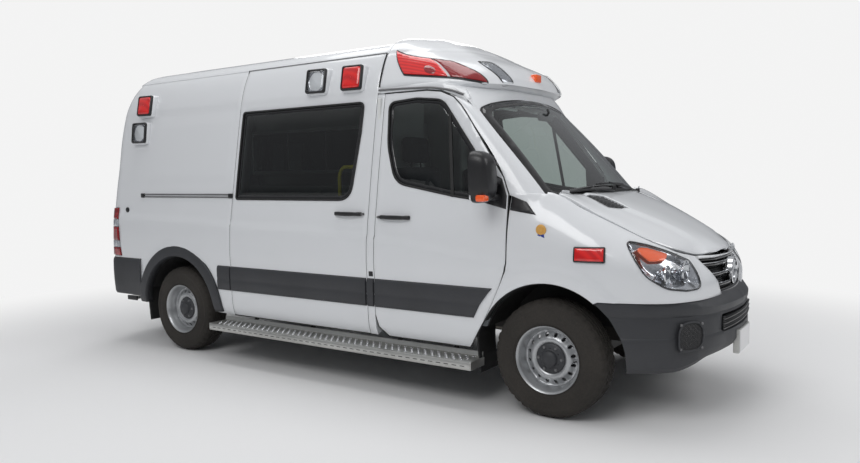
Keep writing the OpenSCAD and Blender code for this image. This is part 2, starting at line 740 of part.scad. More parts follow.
// Profiles are [radius, offset along the axle towards the outside]
module tyre() {
    h = tyre_w / 2;
    color([0.08, 0.08, 0.08]) rotate_extrude($fn = 96) polygon([[rim_r - 15 + seat, -h + 22],
        [rim_r + 20, -h + 8],
        [rim_r + 70, -h], [tyre_r - 62, -h + 2], [tyre_r - 22, -h + 14], [tyre_r - 5, -h + 34], [tyre_r,
            -h + 60],
        [tyre_r, h - 60], [tyre_r - 5, h - 34], [tyre_r - 22, h - 14], [tyre_r - 62, h - 2],
        [rim_r + 70, h], [rim_r + 20, h - 8], [rim_r - 15 + seat, h - 22]]);
}
module rim() {
    h = tyre_w / 2;
    disc_r = rim_r * 0.64;
    color([0.62, 0.63, 0.64]) difference() {
        rotate_extrude($fn = 96) polygon([[hub_r, 10], [hub_r, 52], [disc_r * 0.8, 60], [disc_r, 62],
            [rim_r * 0.82, 34],
            [rim_r - 42, 34], [rim_r - 36, h - 34], [rim_r - 15, h - 24], [rim_r - 15, h - 8],
                [rim_r - 15.2, -h + 8],
            [rim_r - 15.2, -h + 8], [rim_r - 27, -h + 8], [rim_r - 27, -h + 26], [rim_r - 52, -h + 40],
                [rim_r - 52, 16],
            [rim_r * 0.80, 20], [disc_r - 4, 48], [hub_r + 20, 44], [hub_r + 18, 10]]);
        for (i = [0:vent_holes - 1]) rotate([0, 0, i * 360 / vent_holes]) translate([rim_r * 0.735, 0, 0])
            cylinder(r = 14, h = 120, $fn = 24);
    }
}

// ---------- interior ----------
walk_w = 560;
walk_z = 2090;
module bulkhead() {
    color([0.75, 0.75, 0.75]) intersection() {
        translate([-1425, 0, 0]) difference() {
            translate([0, -1000, floor_z]) cube([30, 2000, cab_roof_z - seat - floor_z]);
            translate([-1, -walk_w / 2, floor_z + 20]) cube([32, walk_w, walk_z - floor_z - 20]);
        }
        along(-1430, -1390) section(wall + seat);
    }
}
seat_y = 510;
module cab_seats() {
    color([0.15, 0.15, 0.16]) both() translate([0, -seat_y, floor_z]) {
        translate([-1150, -200, 0]) cube([400, 400, 261]);
        translate([-1180, -250, 260]) cube([480, 500, 140]);
        translate([-1240, -240, 300]) rotate([0, -8, 0]) cube([110, 480, 640]);
        translate([-1335, -110, 920]) rotate([0, -8, 0]) cube([85, 220, 250]);
    }
}
wheel_c = [-690, seat_y, 1250];              // centre of the steering wheel
dash_x = -520;
module dashboard() {
    color([0.12, 0.12, 0.13]) {
        translate([dash_x, -830, 1040]) cube([firewall_x - seat - dash_x, 1660, 400]);
        intersection() {
            translate([firewall_x - 1, -830, shelf_z + 15 + seat]) cube([260, 1660,
                1440 - shelf_z - 15 - seat]);
            screen_cylinder(100 + seat);
        }
        translate(wheel_c) rotate([0, -62, 0]) {
            rotate_extrude() translate([185, 0]) circle(r = 15);
            cylinder(r = 60, h = 30, center = true);
            for (a = [0, 120, 240]) rotate([0, 0, a + 90]) translate([20, -15, -8]) cube([155, 30, 16]);
            rotate([180, 0, 0]) cylinder(r = 28, h = 215);
        }
    }
}
// Bench on the right and cabinets on the left of the load space
module care_fittings() {
    color([0.85, 0.85, 0.85]) difference() {
        intersection() {
            union() {
                translate([-4300, -1000, floor_z]) cube([1250, 580, 430]);
                translate([-4300, 480, floor_z]) cube([2200, 600, 1300]);
            }
            along(tail_x, 0) section(wall + seat);
        }
        both_arches(seat);
    }
}

module left() { mirror([0, 1, 0]) children(); }
place() floor();
place() chassis_frame();
place() engine();
place() fuel_tank();
place() exhaust();
place() front_axle();
place() rear_axle();
place() left() knuckle_right();  // left_knuckle
place() knuckle_right();  // right_knuckle
place() wheel_at(0, 1) rim();  // front_left_rim
place() wheel_at(0, 1) tyre();  // front_left_tyre
place() wheel_at(0, -1) rim();  // front_right_rim
place() wheel_at(0, -1) tyre();  // front_right_tyre
place() wheel_at(rear_x, 1) rim();  // rear_left_rim
place() wheel_at(rear_x, 1) tyre();  // rear_left_tyre
place() wheel_at(rear_x, -1) rim();  // rear_right_rim
place() wheel_at(rear_x, -1) tyre();  // rear_right_tyre
place() body_side_left();
place() body_side_right();
place() roof();
place() rear_frame();
place() cab_frame();
place() wheel_housings();
place() roof_cap();
place() sliding_door();
place() sliding_door_glass();
place() left() front_door_right();  // front_door_left
place() front_door_right();
place() left() front_door_glass_right();  // front_door_glass_left
place() front_door_glass_right();
place() left() rear_door_right();  // rear_door_left
place() rear_door_right();
place() left() rear_door_glass_right();  // rear_door_glass_left
place() rear_door_glass_right();
place() windscreen();
place() wings();
place() bonnet();
place() grille();
place() front_bumper();
place() headlights();
place() tail_lights();
place() rear_step();
place() side_steps();
place() mudflaps();
place() left() mirror_right();  // mirror_left
place() mirror_right();
place() warning_lights();
place() bulkhead();
place() cab_seats();
place() dashboard();
place() care_fittings();
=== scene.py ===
"""Looks of a high-roof van ambulance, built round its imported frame.

Lengths are metres. Stations (x) in the classes are measured forward from the front axle, as on a body
builder's drawing; placed() shifts them into the row frame. y is measured outward from the middle plane.
"""

import json
import logging
import math
from dataclasses import dataclass, field
from enum import Enum
from typing import Callable, Iterable, Sequence

import bmesh
import bpy
import numpy as np
from mathutils import Matrix, Vector
from mathutils.geometry import delaunay_2d_cdt


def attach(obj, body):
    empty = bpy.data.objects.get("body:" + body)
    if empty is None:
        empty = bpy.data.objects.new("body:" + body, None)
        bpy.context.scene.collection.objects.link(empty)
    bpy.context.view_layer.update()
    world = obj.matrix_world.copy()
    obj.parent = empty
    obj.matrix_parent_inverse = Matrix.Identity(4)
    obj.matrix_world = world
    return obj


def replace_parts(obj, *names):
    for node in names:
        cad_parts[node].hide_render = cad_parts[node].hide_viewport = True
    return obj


log = logging.getLogger("ambulance")
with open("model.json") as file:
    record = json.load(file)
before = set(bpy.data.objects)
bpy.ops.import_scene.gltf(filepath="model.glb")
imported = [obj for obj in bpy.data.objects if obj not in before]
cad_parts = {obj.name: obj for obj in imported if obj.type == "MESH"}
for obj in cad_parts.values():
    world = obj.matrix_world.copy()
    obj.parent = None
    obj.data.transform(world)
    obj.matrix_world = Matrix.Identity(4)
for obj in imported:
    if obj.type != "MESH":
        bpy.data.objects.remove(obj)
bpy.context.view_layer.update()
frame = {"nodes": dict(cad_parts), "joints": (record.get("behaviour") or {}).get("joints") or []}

Point2 = tuple[float, float]
Point3 = tuple[float, float, float]

JOINTS = {joint["name"]: joint for joint in frame["joints"]}
AXLE_X = JOINTS["steer_left"]["pos_m"][0]
REAR_X = JOINTS["rear_left_spin"]["pos_m"][0] - AXLE_X
AXLE_Z = JOINTS["front_left_spin"]["pos_m"][2]
WHEEL_Y = JOINTS["front_left_spin"]["pos_m"][1]
HINGE_OUT = 0.008
TAIL_X = JOINTS["rear_door_left_swing"]["pos_m"][0] + HINGE_OUT - AXLE_X
RIGHT, LEFT = -1, 1


# ---------- curves and outlines ----------
class Curve:
    """A smooth, never overshooting curve through a short table of (position, value) rows."""

    def __init__(self, rows: Sequence[Point2]) -> None:
        """Args:
            rows: Positions and values, in rising order of position.
        """
        self.x = np.array([row[0] for row in rows], float)
        self.y = np.array([row[1] for row in rows], float)
        step = np.diff(self.x)
        rise = np.diff(self.y) / step
        slope = np.zeros_like(self.y)
        slope[0], slope[-1] = rise[0], rise[-1]
        for i in range(1, len(rows) - 1):
            if rise[i - 1] * rise[i] > 0:
                a, b = 2 * step[i] + step[i - 1], step[i] + 2 * step[i - 1]
                slope[i] = (a + b) / (a / rise[i - 1] + b / rise[i])
        self.slope, self.step = slope, step

    def __call__(self, at: float) -> float:
        """Returns the curve's value at a position, held level past its ends."""
        at = min(max(at, self.x[0]), self.x[-1])
        i = min(int(np.searchsorted(self.x, at, "right")) - 1, len(self.step) - 1)
        h = self.step[i]
        t = (at - self.x[i]) / h
        s = t * t * (3 - 2 * t)
        a = t * (1 - t) ** 2 * h
        b = t * t * (t - 1) * h
        return float(self.y[i] * (1 - s) + self.y[i + 1] * s + self.slope[i] * a + self.slope[i + 1] * b)


def ramp(value: float, low: float, high: float) -> float:
    """Returns 0 below low and 1 above high, with a smooth rise between."""
    t = min(max((value - low) / (high - low), 0.0), 1.0)
    return t * t * (3 - 2 * t)


def arc(centre: Point2, radius: float, start: float, end: float, count: int) -> list[Point2]:
    """Returns points along an arc; the angles are in degrees."""
    angles = [math.radians(start + (end - start) * i / (count - 1)) for i in range(count)]
    return [(centre[0] + radius * math.cos(a), centre[1] + radius * math.sin(a)) for a in angles]


def rounded(corners: Sequence[tuple[float, float, float]], steps: int = 7) -> list[Point2]:
    """Rounds the corners of an outline.

    Args:
        corners: Rows of (a, b, radius), in order round the outline.
        steps: Points on each rounded corner.

    Returns:
        The outline's points.
    """
    out: list[Point2] = []
    for i, (a, b, radius) in enumerate(corners):
        here = Vector((a, b))
        before = Vector(corners[i - 1][:2]) - here
        after = Vector(corners[(i + 1) % len(corners)][:2]) - here
        if radius <= 0:
            out.append((a, b))
            continue
        half = before.angle(after) / 2
        reach = min(radius / math.tan(half), before.length * 0.49, after.length * 0.49)
        start, end = here + before.normalized() * reach, here + after.normalized() * reach
        for k in range(steps):
            t = k / (steps - 1)
            point = start * (1 - t) ** 2 + here * 2 * t * (1 - t) + end * t * t
            out.append((point.x, point.y))
    return out


def resample(points: Sequence[Point2], spacing: float, closed: bool = True) -> list[Point2]:
    """Returns the outline with points added so that no stretch is longer than spacing."""
    out: list[Point2] = []
    ends = list(points[1:]) + ([points[0]] if closed else [])
    for a, b in zip(points, ends):
        count = max(1, math.ceil(math.dist(a, b) / spacing))
        out += [(a[0] + (b[0] - a[0]) * k / count, a[1] + (b[1] - a[1]) * k / count) for k in range(count)]
    if not closed:
        out.append(tuple(points[-1]))
    return out


def area_of(points: Sequence[Point2]) -> float:
    """Returns the signed area of an outline."""
    p = np.array(points)
    q = np.roll(p, -1, 0)
    return float((p[:, 0] * q[:, 1] - q[:, 0] * p[:, 1]).sum() / 2)


def inset(points: Sequence[Point2], distance: float) -> list[Point2]:
    """Returns the outline moved inward by a small distance."""
    p = np.array(points)
    ahead, behind = np.roll(p, -1, 0) - p, p - np.roll(p, 1, 0)
    ahead /= np.maximum(np.linalg.norm(ahead, axis=1, keepdims=True), 1e-9)
    behind /= np.maximum(np.linalg.norm(behind, axis=1, keepdims=True), 1e-9)
    along = ahead + behind
    along /= np.maximum(np.linalg.norm(along, axis=1, keepdims=True), 1e-9)
    turn = 1 if area_of(points) > 0 else -1
    normal = np.stack([-along[:, 1], along[:, 0]], 1) * turn
    widen = 1 / np.maximum((ahead * along).sum(1), 0.5)
    moved = p + normal * (distance * widen)[:, None]
    return [(float(a), float(b)) for a, b in moved]


def inside(points: np.ndarray, outline: Sequence[Point2]) -> np.ndarray:
    """Returns, for each point, whether it lies inside the outline."""
    p = np.array(outline)
    q = np.roll(p, -1, 0)
    x, y = points[:, 0][:, None], points[:, 1][:, None]
    cross = (p[:, 1] > y) != (q[:, 1] > y)
    with np.errstate(divide="ignore", invalid="ignore"):
        at = (q[:, 0] - p[:, 0]) * (y - p[:, 1]) / (q[:, 1] - p[:, 1]) + p[:, 0]
    return (cross & (x < at)).sum(1) % 2 == 1


def distance_to(points: np.ndarray, outline: Sequence[Point2]) -> np.ndarray:
    """Returns each point's distance to the outline's edges."""
    p = np.array(outline)
    d = np.roll(p, -1, 0) - p
    rel = points[:, None, :] - p[None]
    t = np.clip((rel * d).sum(2) / np.maximum((d * d).sum(1), 1e-12), 0, 1)
    return np.linalg.norm(rel - d[None] * t[..., None], axis=2).min(1)


# ---------- finishes ----------
class Grain(Enum):
    """Small-scale surface of a finish."""

    PAINT = "paint"
    MOULDED = "moulded"
    CAST = "cast"
    BRUSHED = "brushed"
    RUBBER = "rubber"
    WOVEN = "woven"
    RIBBED = "ribbed"
    CLEAR = "clear"
    SPECKLED = "speckled"


@dataclass(frozen=True)
class Finish:
    """One finish: its colours, gloss and grain, and the record's slot it belongs to."""

    name: str
    slot: str
    colour: Point3
    second: Point3
    roughness: float
    grain: Grain
    metallic: float = 0.0
    coat: float = 0.0
    transmission: float = 0.0
    scale: float = 40.0
    bump: float = 0.1
    specular: float = 0.5
    glow: float = 0.0

    def material(self) -> bpy.types.Material:
        """Builds the finish's node material once, and returns it."""
        title = f"finish_{self.name}"
        old = bpy.data.materials.get(title)
        if old:
            return old
        made = bpy.data.materials.new(title)
        made.use_nodes = True
        nodes, links = made.node_tree.nodes, made.node_tree.links
        shader = nodes["Principled BSDF"]
        values = {
            "Metallic": self.metallic,
            "Coat Weight": self.coat,
            "Coat Roughness": 0.03,
            "Specular IOR Level": self.specular,
        }
        for socket, value in values.items():
            shader.inputs[socket].default_value = value
        if self.glow:
            shader.inputs["Emission Color"].default_value = (*self.colour, 1)
            shader.inputs["Emission Strength"].default_value = self.glow
        place = nodes.new("ShaderNodeTexCoord").outputs["Object"]
        broad = nodes.new("ShaderNodeTexNoise")
        broad.inputs["Scale"].default_value = self.scale * 0.08
        broad.inputs["Detail"].default_value = 6
        links.new(place, broad.inputs["Vector"])
        fine, height = self.fine_texture(nodes, links, place)
        blend = nodes.new("ShaderNodeMath")
        blend.operation = "MULTIPLY_ADD"
        blend.inputs[1].default_value = 0.45
        links.new(fine, blend.inputs[0])
        links.new(self.scaled(nodes, links, broad.outputs["Fac"], 0.55), blend.inputs[2])
        colours = nodes.new("ShaderNodeValToRGB")
        colours.color_ramp.elements[0].position = 0.3
        colours.color_ramp.elements[1].position = 0.7
        colours.color_ramp.elements[0].color = (*self.second, 1)
        colours.color_ramp.elements[1].color = (*self.colour, 1)
        links.new(blend.outputs[0], colours.inputs["Fac"])
        links.new(colours.outputs["Color"], shader.inputs["Base Color"])
        gloss = nodes.new("ShaderNodeMapRange")
        spread = 0.03 if self.grain is Grain.PAINT else 0.22
        gloss.inputs["To Min"].default_value = self.roughness * (1 + spread)
        gloss.inputs["To Max"].default_value = self.roughness * (1 - spread)
        links.new(broad.outputs["Fac"], gloss.inputs["Value"])
        links.new(gloss.outputs["Result"], shader.inputs["Roughness"])
        if self.transmission:
            self.see_through(made, shader, colours.outputs["Color"])
        if self.bump:
            relief = nodes.new("ShaderNodeBump")
            relief.inputs["Strength"].default_value = self.bump
            relief.inputs["Distance"].default_value = 0.002
            links.new(height, relief.inputs["Height"])
            links.new(relief.outputs["Normal"], shader.inputs["Normal"])
        return made

    def see_through(self, made: bpy.types.Material, shader: bpy.types.ShaderNode,
                    tint: bpy.types.NodeSocket) -> None:
        """Makes the finish a thin pane: tinted straight through, mirroring more at a slant.

        Args:
            made: The material.
            shader: Its main shader, which becomes the mirror part.
            tint: The socket with the colour of the light let through.
        """
        nodes, links = made.node_tree.nodes, made.node_tree.links
        for link in list(shader.inputs["Base Color"].links):
            links.remove(link)
        shader.inputs["Base Color"].default_value = (0.95, 0.96, 0.97, 1)
        shader.inputs["Metallic"].default_value = 1.0
        clear = nodes.new("ShaderNodeBsdfTransparent")
        links.new(tint, clear.inputs["Color"])
        slant = nodes.new("ShaderNodeLayerWeight")
        slant.inputs["Blend"].default_value = 0.5
        power = nodes.new("ShaderNodeMath")
        power.operation = "POWER"
        power.inputs[1].default_value = 4.0
        links.new(slant.outputs["Facing"], power.inputs[0])
        share = nodes.new("ShaderNodeMath")
        share.operation = "MULTIPLY_ADD"
        share.inputs[1].default_value = 0.9
        share.inputs[2].default_value = 1.06 - self.transmission
        links.new(power.outputs[0], share.inputs[0])
        mix = nodes.new("ShaderNodeMixShader")
        links.new(share.outputs[0], mix.inputs["Fac"])
        links.new(clear.outputs["BSDF"], mix.inputs[1])
        links.new(shader.outputs["BSDF"], mix.inputs[2])
        links.new(mix.outputs["Shader"], nodes["Material Output"].inputs["Surface"])

    @staticmethod
    def scaled(nodes: bpy.types.Nodes, links: bpy.types.NodeLinks, value: bpy.types.NodeSocket,
               factor: float) -> bpy.types.NodeSocket:
        """Returns a socket holding value times factor."""
        times = nodes.new("ShaderNodeMath")
        times.operation = "MULTIPLY"
        times.inputs[1].default_value = factor
        links.new(value, times.inputs[0])
        return times.outputs[0]

    def fine_texture(self, nodes: bpy.types.Nodes, links: bpy.types.NodeLinks,
                     place: bpy.types.NodeSocket) -> tuple[bpy.types.NodeSocket, bpy.types.NodeSocket]:
        """Adds the texture of the grain.

        Args:
            nodes: The material's nodes.
            links: The material's links.
            place: The socket with the object's own coordinates.

        Returns:
            The socket that varies the colour, and the socket that gives the height.
        """
        if self.grain in (Grain.WOVEN, Grain.RIBBED):
            wave = nodes.new("ShaderNodeTexWave")
            wave.inputs["Scale"].default_value = self.scale
            wave.bands_direction = "Y" if self.grain is Grain.RIBBED else "DIAGONAL"
            links.new(place, wave.inputs["Vector"])
            if self.grain is Grain.RIBBED:
                return wave.outputs["Fac"], wave.outputs["Fac"]
            other = nodes.new("ShaderNodeTexWave")
            other.inputs["Scale"].default_value = self.scale
            other.bands_direction = "Z"
            links.new(place, other.inputs["Vector"])
            both = nodes.new("ShaderNodeMath")
            both.operation = "MULTIPLY"
            links.new(wave.outputs["Fac"], both.inputs[0])
            links.new(other.outputs["Fac"], both.inputs[1])
            return both.outputs[0], both.outputs[0]
        if self.grain in (Grain.MOULDED, Grain.SPECKLED):
            cells = nodes.new("ShaderNodeTexVoronoi")
            cells.inputs["Scale"].default_value = self.scale * 12
            links.new(place, cells.inputs["Vector"])
            return cells.outputs["Distance"], cells.outputs["Distance"]
        noise = nodes.new("ShaderNodeTexNoise")
        noise.inputs["Scale"].default_value = self.scale * 4
        noise.inputs["Detail"].default_value = 4
        if self.grain is Grain.BRUSHED:
            stretch = nodes.new("ShaderNodeMapping")
            stretch.inputs["Scale"].default_value = (0.05, 1, 1)
            links.new(place, stretch.inputs["Vector"])
            links.new(stretch.outputs["Vector"], noise.inputs["Vector"])
        else:
            links.new(place, noise.inputs["Vector"])
        return noise.outputs["Fac"], noise.outputs["Fac"]


WHITE = Finish("white_paint", "body_white", (0.76, 0.775, 0.795), (0.748, 0.763, 0.783), 0.26, Grain.PAINT,
               coat=0.8, bump=0.0)
STRIP = Finish("strip_plastic", "black_plastic", (0.045, 0.047, 0.052), (0.03, 0.031, 0.035), 0.48,
               Grain.MOULDED, bump=0.12)
TRIM = Finish("trim_black", "black_plastic", (0.018, 0.018, 0.02), (0.010, 0.010, 0.011), 0.35,
              Grain.MOULDED, bump=0.1)
GLOSS_BLACK = Finish("gloss_black", "black_plastic", (0.012, 0.012, 0.013), (0.008, 0.008, 0.009), 0.08,
                     Grain.PAINT, bump=0.0, coat=0.5)
RUBBER = Finish("seal_rubber", "black_rubber", (0.02, 0.02, 0.02), (0.012, 0.012, 0.012), 0.7, Grain.RUBBER)
TYRE = Finish("tyre_rubber", "tyre", (0.042, 0.036, 0.030), (0.020, 0.018, 0.016), 0.85, Grain.RUBBER,
              bump=0.3, scale=25)
STEEL = Finish("wheel_paint", "wheel_silver", (0.50, 0.51, 0.52), (0.40, 0.41, 0.42), 0.34, Grain.PAINT,
               metallic=0.75, bump=0.04)
CHROME = Finish("bright_metal", "wheel_silver", (0.75, 0.76, 0.78), (0.68, 0.69, 0.70), 0.1, Grain.PAINT,
                metallic=1.0, bump=0.0)
ALLOY = Finish("step_alloy", "tread_aluminium", (0.62, 0.62, 0.60), (0.42, 0.42, 0.40), 0.36, Grain.BRUSHED,
               metallic=0.85, bump=0.15)
CHASSIS = Finish("chassis_paint", "chassis_black", (0.03, 0.03, 0.03), (0.055, 0.048, 0.04), 0.6, Grain.CAST,
                 bump=0.3)
CASTING = Finish("cast_metal", "cast_metal", (0.22, 0.22, 0.23), (0.14, 0.14, 0.14), 0.5, Grain.CAST,
                 metallic=0.5, bump=0.35)
PIPE = Finish("pipe_steel", "exhaust_steel", (0.38, 0.36, 0.33), (0.25, 0.22, 0.19), 0.45, Grain.BRUSHED,
              metallic=0.8)
SIDE_GLASS = Finish("dark_glass", "dark_glass", (0.30, 0.33, 0.32), (0.28, 0.31, 0.30), 0.02, Grain.CLEAR,
                    transmission=1.0, bump=0.0)
SCREEN_GLASS = Finish("screen_glass", "screen_glass", (0.80, 0.88, 0.85), (0.78, 0.87, 0.84), 0.015,
                      Grain.CLEAR,
                      transmission=1.0, bump=0.0)
CLEAR = Finish("clear_lens", "clear_lens", (0.97, 0.98, 0.98), (0.95, 0.96, 0.97), 0.02, Grain.CLEAR,
               transmission=1.0, bump=0.0)
REFLECTOR = Finish("lamp_reflector", "clear_lens", (0.62, 0.63, 0.66), (0.30, 0.31, 0.34), 0.16, Grain.PAINT,
                   metallic=1.0, bump=0.25, scale=20)
RED = Finish("red_lens", "red_lens", (0.72, 0.012, 0.010), (0.50, 0.004, 0.006), 0.12, Grain.RIBBED, coat=1.0,
             bump=0.25, scale=24, glow=0.10)
DARK_RED = Finish("dark_red_lens", "red_lens", (0.34, 0.006, 0.010), (0.20, 0.003, 0.006), 0.14, Grain.RIBBED,
                  coat=1.0, bump=0.3, scale=30)
ORANGE = Finish("orange_lens", "red_lens", (0.92, 0.13, 0.02), (0.80, 0.09, 0.015), 0.15, Grain.RIBBED,
                coat=1.0, bump=0.2, scale=40, glow=0.12)
LAMP_CLEAR = Finish("lamp_clear", "clear_lens", (0.72, 0.74, 0.77), (0.45, 0.47, 0.51), 0.12, Grain.RIBBED,
                    coat=1.0, bump=0.3, scale=30, metallic=0.35)
CLOTH = Finish("seat_cloth", "seat_cloth", (0.055, 0.058, 0.065), (0.03, 0.032, 0.038), 0.9, Grain.WOVEN,
               bump=0.5, scale=140)
VINYL = Finish("bench_vinyl", "seat_cloth", (0.05, 0.09, 0.16), (0.04, 0.07, 0.13), 0.5, Grain.CAST,
               bump=0.25)
SHEET = Finish("floor_sheet", "floor_covering", (0.34, 0.36, 0.38), (0.22, 0.24, 0.26), 0.6, Grain.SPECKLED,
               bump=0.08, scale=14)
LAMINATE = Finish("laminate", "pale_laminate", (0.74, 0.75, 0.74), (0.70, 0.71, 0.70), 0.35, Grain.PAINT,
                  bump=0.03)
YELLOW = Finish("grab_yellow", "pale_laminate", (0.85, 0.72, 0.03), (0.78, 0.64, 0.02), 0.35, Grain.PAINT)
GREEN = Finish("pole_green", "pale_laminate", (0.42, 0.58, 0.48), (0.36, 0.52, 0.42), 0.35, Grain.PAINT)
PLATE = Finish("plate_white", "pale_laminate", (0.80, 0.80, 0.80), (0.74, 0.74, 0.75), 0.3, Grain.PAINT)
GOLD = Finish("rosette_gold", "pale_laminate", (0.75, 0.42, 0.10), (0.62, 0.32, 0.07), 0.4, Grain.PAINT)
BLUE = Finish("rosette_blue", "pale_laminate", (0.02, 0.06, 0.35), (0.015, 0.04, 0.25), 0.4, Grain.PAINT)


# ---------- building meshes ----------
def finish_piece(obj: bpy.types.Object, finish: Finish, body: str = "body") -> bpy.types.Object:
    """Dresses a piece, puts it in the scene and lets it ride on a body.

    Args:
        obj: The piece, its mesh already in the row frame.
        finish: Its finish.
        body: The CAD body that carries it.

    Returns:
        The piece.
    """
    if not obj.data.materials:
        obj.data.materials.append(finish.material())
    if obj.name not in bpy.context.scene.collection.objects:
        bpy.context.scene.collection.objects.link(obj)
    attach(obj, body)
    log.info("%s rides on %s", obj.name, body)
    return obj


def from_bmesh(name: str, bm: bmesh.types.BMesh, sharp: float = 40.0) -> bpy.types.Object:
    """Returns a smooth-shaded object from a bmesh, which it frees; sharp is in degrees."""
    mesh = bpy.data.meshes.new(name)
    bm.to_mesh(mesh)
    bm.free()
    mesh.polygons.foreach_set("use_smooth", [True] * len(mesh.polygons))
    mesh.set_sharp_from_angle(angle=math.radians(sharp))
    return bpy.data.objects.new(name, mesh)


def placed(point: Iterable[float], side: int = LEFT) -> Vector:
    """Returns a drawing point (station, half width, height) in the row frame."""
    x, y, z = point
    return Vector((x + AXLE_X, y * side, z))


Surface = Callable[[float, float], Point3]


@dataclass
class Sheet:
    """A panel cut from a curved surface: outline and holes in the surface's two coordinates."""

    surface: Surface
    outline: list[Point2]
    holes: list[list[Point2]] = field(default_factory=list)
    creases: list[list[Point2]] = field(default_factory=list)
    spacing: float = 0.03
    lift: float = 0.0
    edge: float = 0.003
    depth: float = 0.02
    side: int = RIGHT

    def normal(self, a: float, b: float) -> Vector:
        """Returns the surface's outward unit normal."""
        step = 0.002
        here = Vector(self.surface(a, b))
        across = Vector(self.surface(a + step, b)) - here
        up = Vector(self.surface(a, b + step)) - here
        normal = across.cross(up).normalized()
        return normal if normal.dot(self.outward(here)) > 0 else -normal

    @staticmethod
    def outward(point: Vector) -> Vector:
        """Returns a rough outward direction: from the vehicle's spine line to the point."""
        spine = Vector((min(max(point.x, -3.9), 0.0), 0.0, min(max(point.z, 0.8), 1.6)))
        return point - spine

    def points(self) -> tuple[list[Point2], list[tuple[int, int]], set[int]]:
        """Returns the flat points, the edges that must be kept, and the border points."""
        verts: list[Point2] = []
        edges: list[tuple[int, int]] = []
        border: set[int] = set()

        def add(loop: list[Point2], closed: bool, on_border: bool) -> None:
            """Adds a line's points and the edges that join them."""
            base = len(verts)
            verts.extend(loop)
            count = len(loop)
            edges.extend((base + i, base + (i + 1) % count) for i in range(count if closed else count - 1))
            if on_border:
                border.update(range(base, base + count))

        loops = [resample(self.outline, self.spacing)] + [resample(h, self.spacing) for h in self.holes]
        for i, loop in enumerate(loops):
            add(loop, True, True)
            ring = inset(loop, self.edge if i == 0 else -self.edge)
            add(ring, True, False)
        for line in self.creases:
            add(resample(line, self.spacing, False), False, False)
        a = np.arange(min(p[0] for p in self.outline), max(p[0] for p in self.outline), self.spacing)
        b = np.arange(min(p[1] for p in self.outline), max(p[1] for p in self.outline), self.spacing)
        grid = np.stack(np.meshgrid(a, b), -1).reshape(-1, 2)
        keep = inside(grid, self.outline)
        for hole in self.holes:
            keep &= ~inside(grid, hole)
        grid = grid[keep]
        for loop in [self.outline, *self.holes, *[c + c[::-1] for c in self.creases]]:
            grid = grid[distance_to(grid, loop) > self.spacing * 0.45]
        verts.extend((float(p[0]), float(p[1])) for p in grid)
        return verts, edges, border

    def build(self, name: str) -> bpy.types.Object:
        """Makes the panel, with its edges rounded and turned inward by its depth.

        Args:
            name: The object's name.

        Returns:
            The object.
        """
        verts, edges, _ = self.points()
        flat, _, faces, *_ = delaunay_2d_cdt([Vector(v) for v in verts], edges, [], 0, 1e-6)
        at = np.array([(v.x, v.y) for v in flat])
        tris = np.array([f for f in faces if len(f) == 3])
        middle = at[tris].mean(1)
        keep = inside(middle, self.outline)
        for hole in self.holes:
            keep &= ~inside(middle, hole)
        tris = tris[keep]
        bm = bmesh.new()
        used = sorted(set(tris.ravel().tolist()))
        normals, made = {}, {}
        for i in used:
            a, b = at[i]
            normals[i] = self.normal(a, b)
            where = Vector(self.surface(a, b)) + normals[i] * self.lift
            made[i] = bm.verts.new(placed(where, self.side))
        for tri in tris:
            bm.faces.new([made[i] for i in tri])
        index = {v: i for i, v in made.items()}
        rim = [e for e in bm.edges if len(e.link_faces) == 1]
        new: dict[bmesh.types.BMVert, bmesh.types.BMVert] = {}
        for vert in {v for e in rim for v in e.verts}:
            normal = normals[index[vert]]
            turn = Vector((normal.x, normal.y * self.side, normal.z))
            new[vert] = bm.verts.new(vert.co - turn * self.depth)
            vert.co -= turn * self.edge * 0.7
        for e in rim:
            a, b = e.verts
            bm.faces.new((a, b, new[b], new[a]))
        bmesh.ops.recalc_face_normals(bm, faces=bm.faces)
        probe = max(bm.faces, key=lambda f: f.calc_area())
        centre = probe.calc_center_median()
        local = Vector((centre.x - AXLE_X, centre.y * self.side, centre.z))
        outward = self.outward(local)
        if probe.normal.dot(Vector((outward.x, outward.y * self.side, outward.z))) < 0:
            bmesh.ops.reverse_faces(bm, faces=bm.faces)
        return from_bmesh(name, bm, 50)


class DiscSheet(Sheet):
    """A panel cut from a wheel's disc, which faces along the axle."""

    @staticmethod
    def outward(point: Vector) -> Vector:
        """Returns the axle's direction, whatever the point."""
        return Vector((0.0, 1.0, 0.0))


def loft(name: str, rows: Sequence[Sequence[Iterable[float]]], side: int = LEFT, closed: bool = False,
         thickness: float = 0.0, caps: bool = False, sharp: float = 40.0) -> bpy.types.Object:
    """Joins rows of drawing points into one surface.

    Args:
        name: The object's name.
        rows: Rows with the same number of points.
        side: Which side of the vehicle.
        closed: Whether each row is a ring.
        thickness: Wall thickness, or 0 for a bare surface.
        caps: Whether the first and last rings are filled.
        sharp: Angle in degrees past which an edge is sharp.

    Returns:
        The object.
    """
    bm = bmesh.new()
    grid = [[bm.verts.new(placed(p, side)) for p in row] for row in rows]
    count = len(grid[0])
    for a, b in zip(grid, grid[1:]):
        for i in range(count if closed else count - 1):
            j = (i + 1) % count
            bm.faces.new((a[i], a[j], b[j], b[i]))
    if caps:
        bm.faces.new(grid[0][::-1])
        bm.faces.new(grid[-1])
    bmesh.ops.remove_doubles(bm, verts=bm.verts, dist=1e-5)
    bmesh.ops.recalc_face_normals(bm, faces=bm.faces)
    obj = from_bmesh(name, bm, sharp)
    if thickness:
        wall = obj.modifiers.new("wall", "SOLIDIFY")
        wall.thickness = thickness
        wall.offset = 0
    return obj


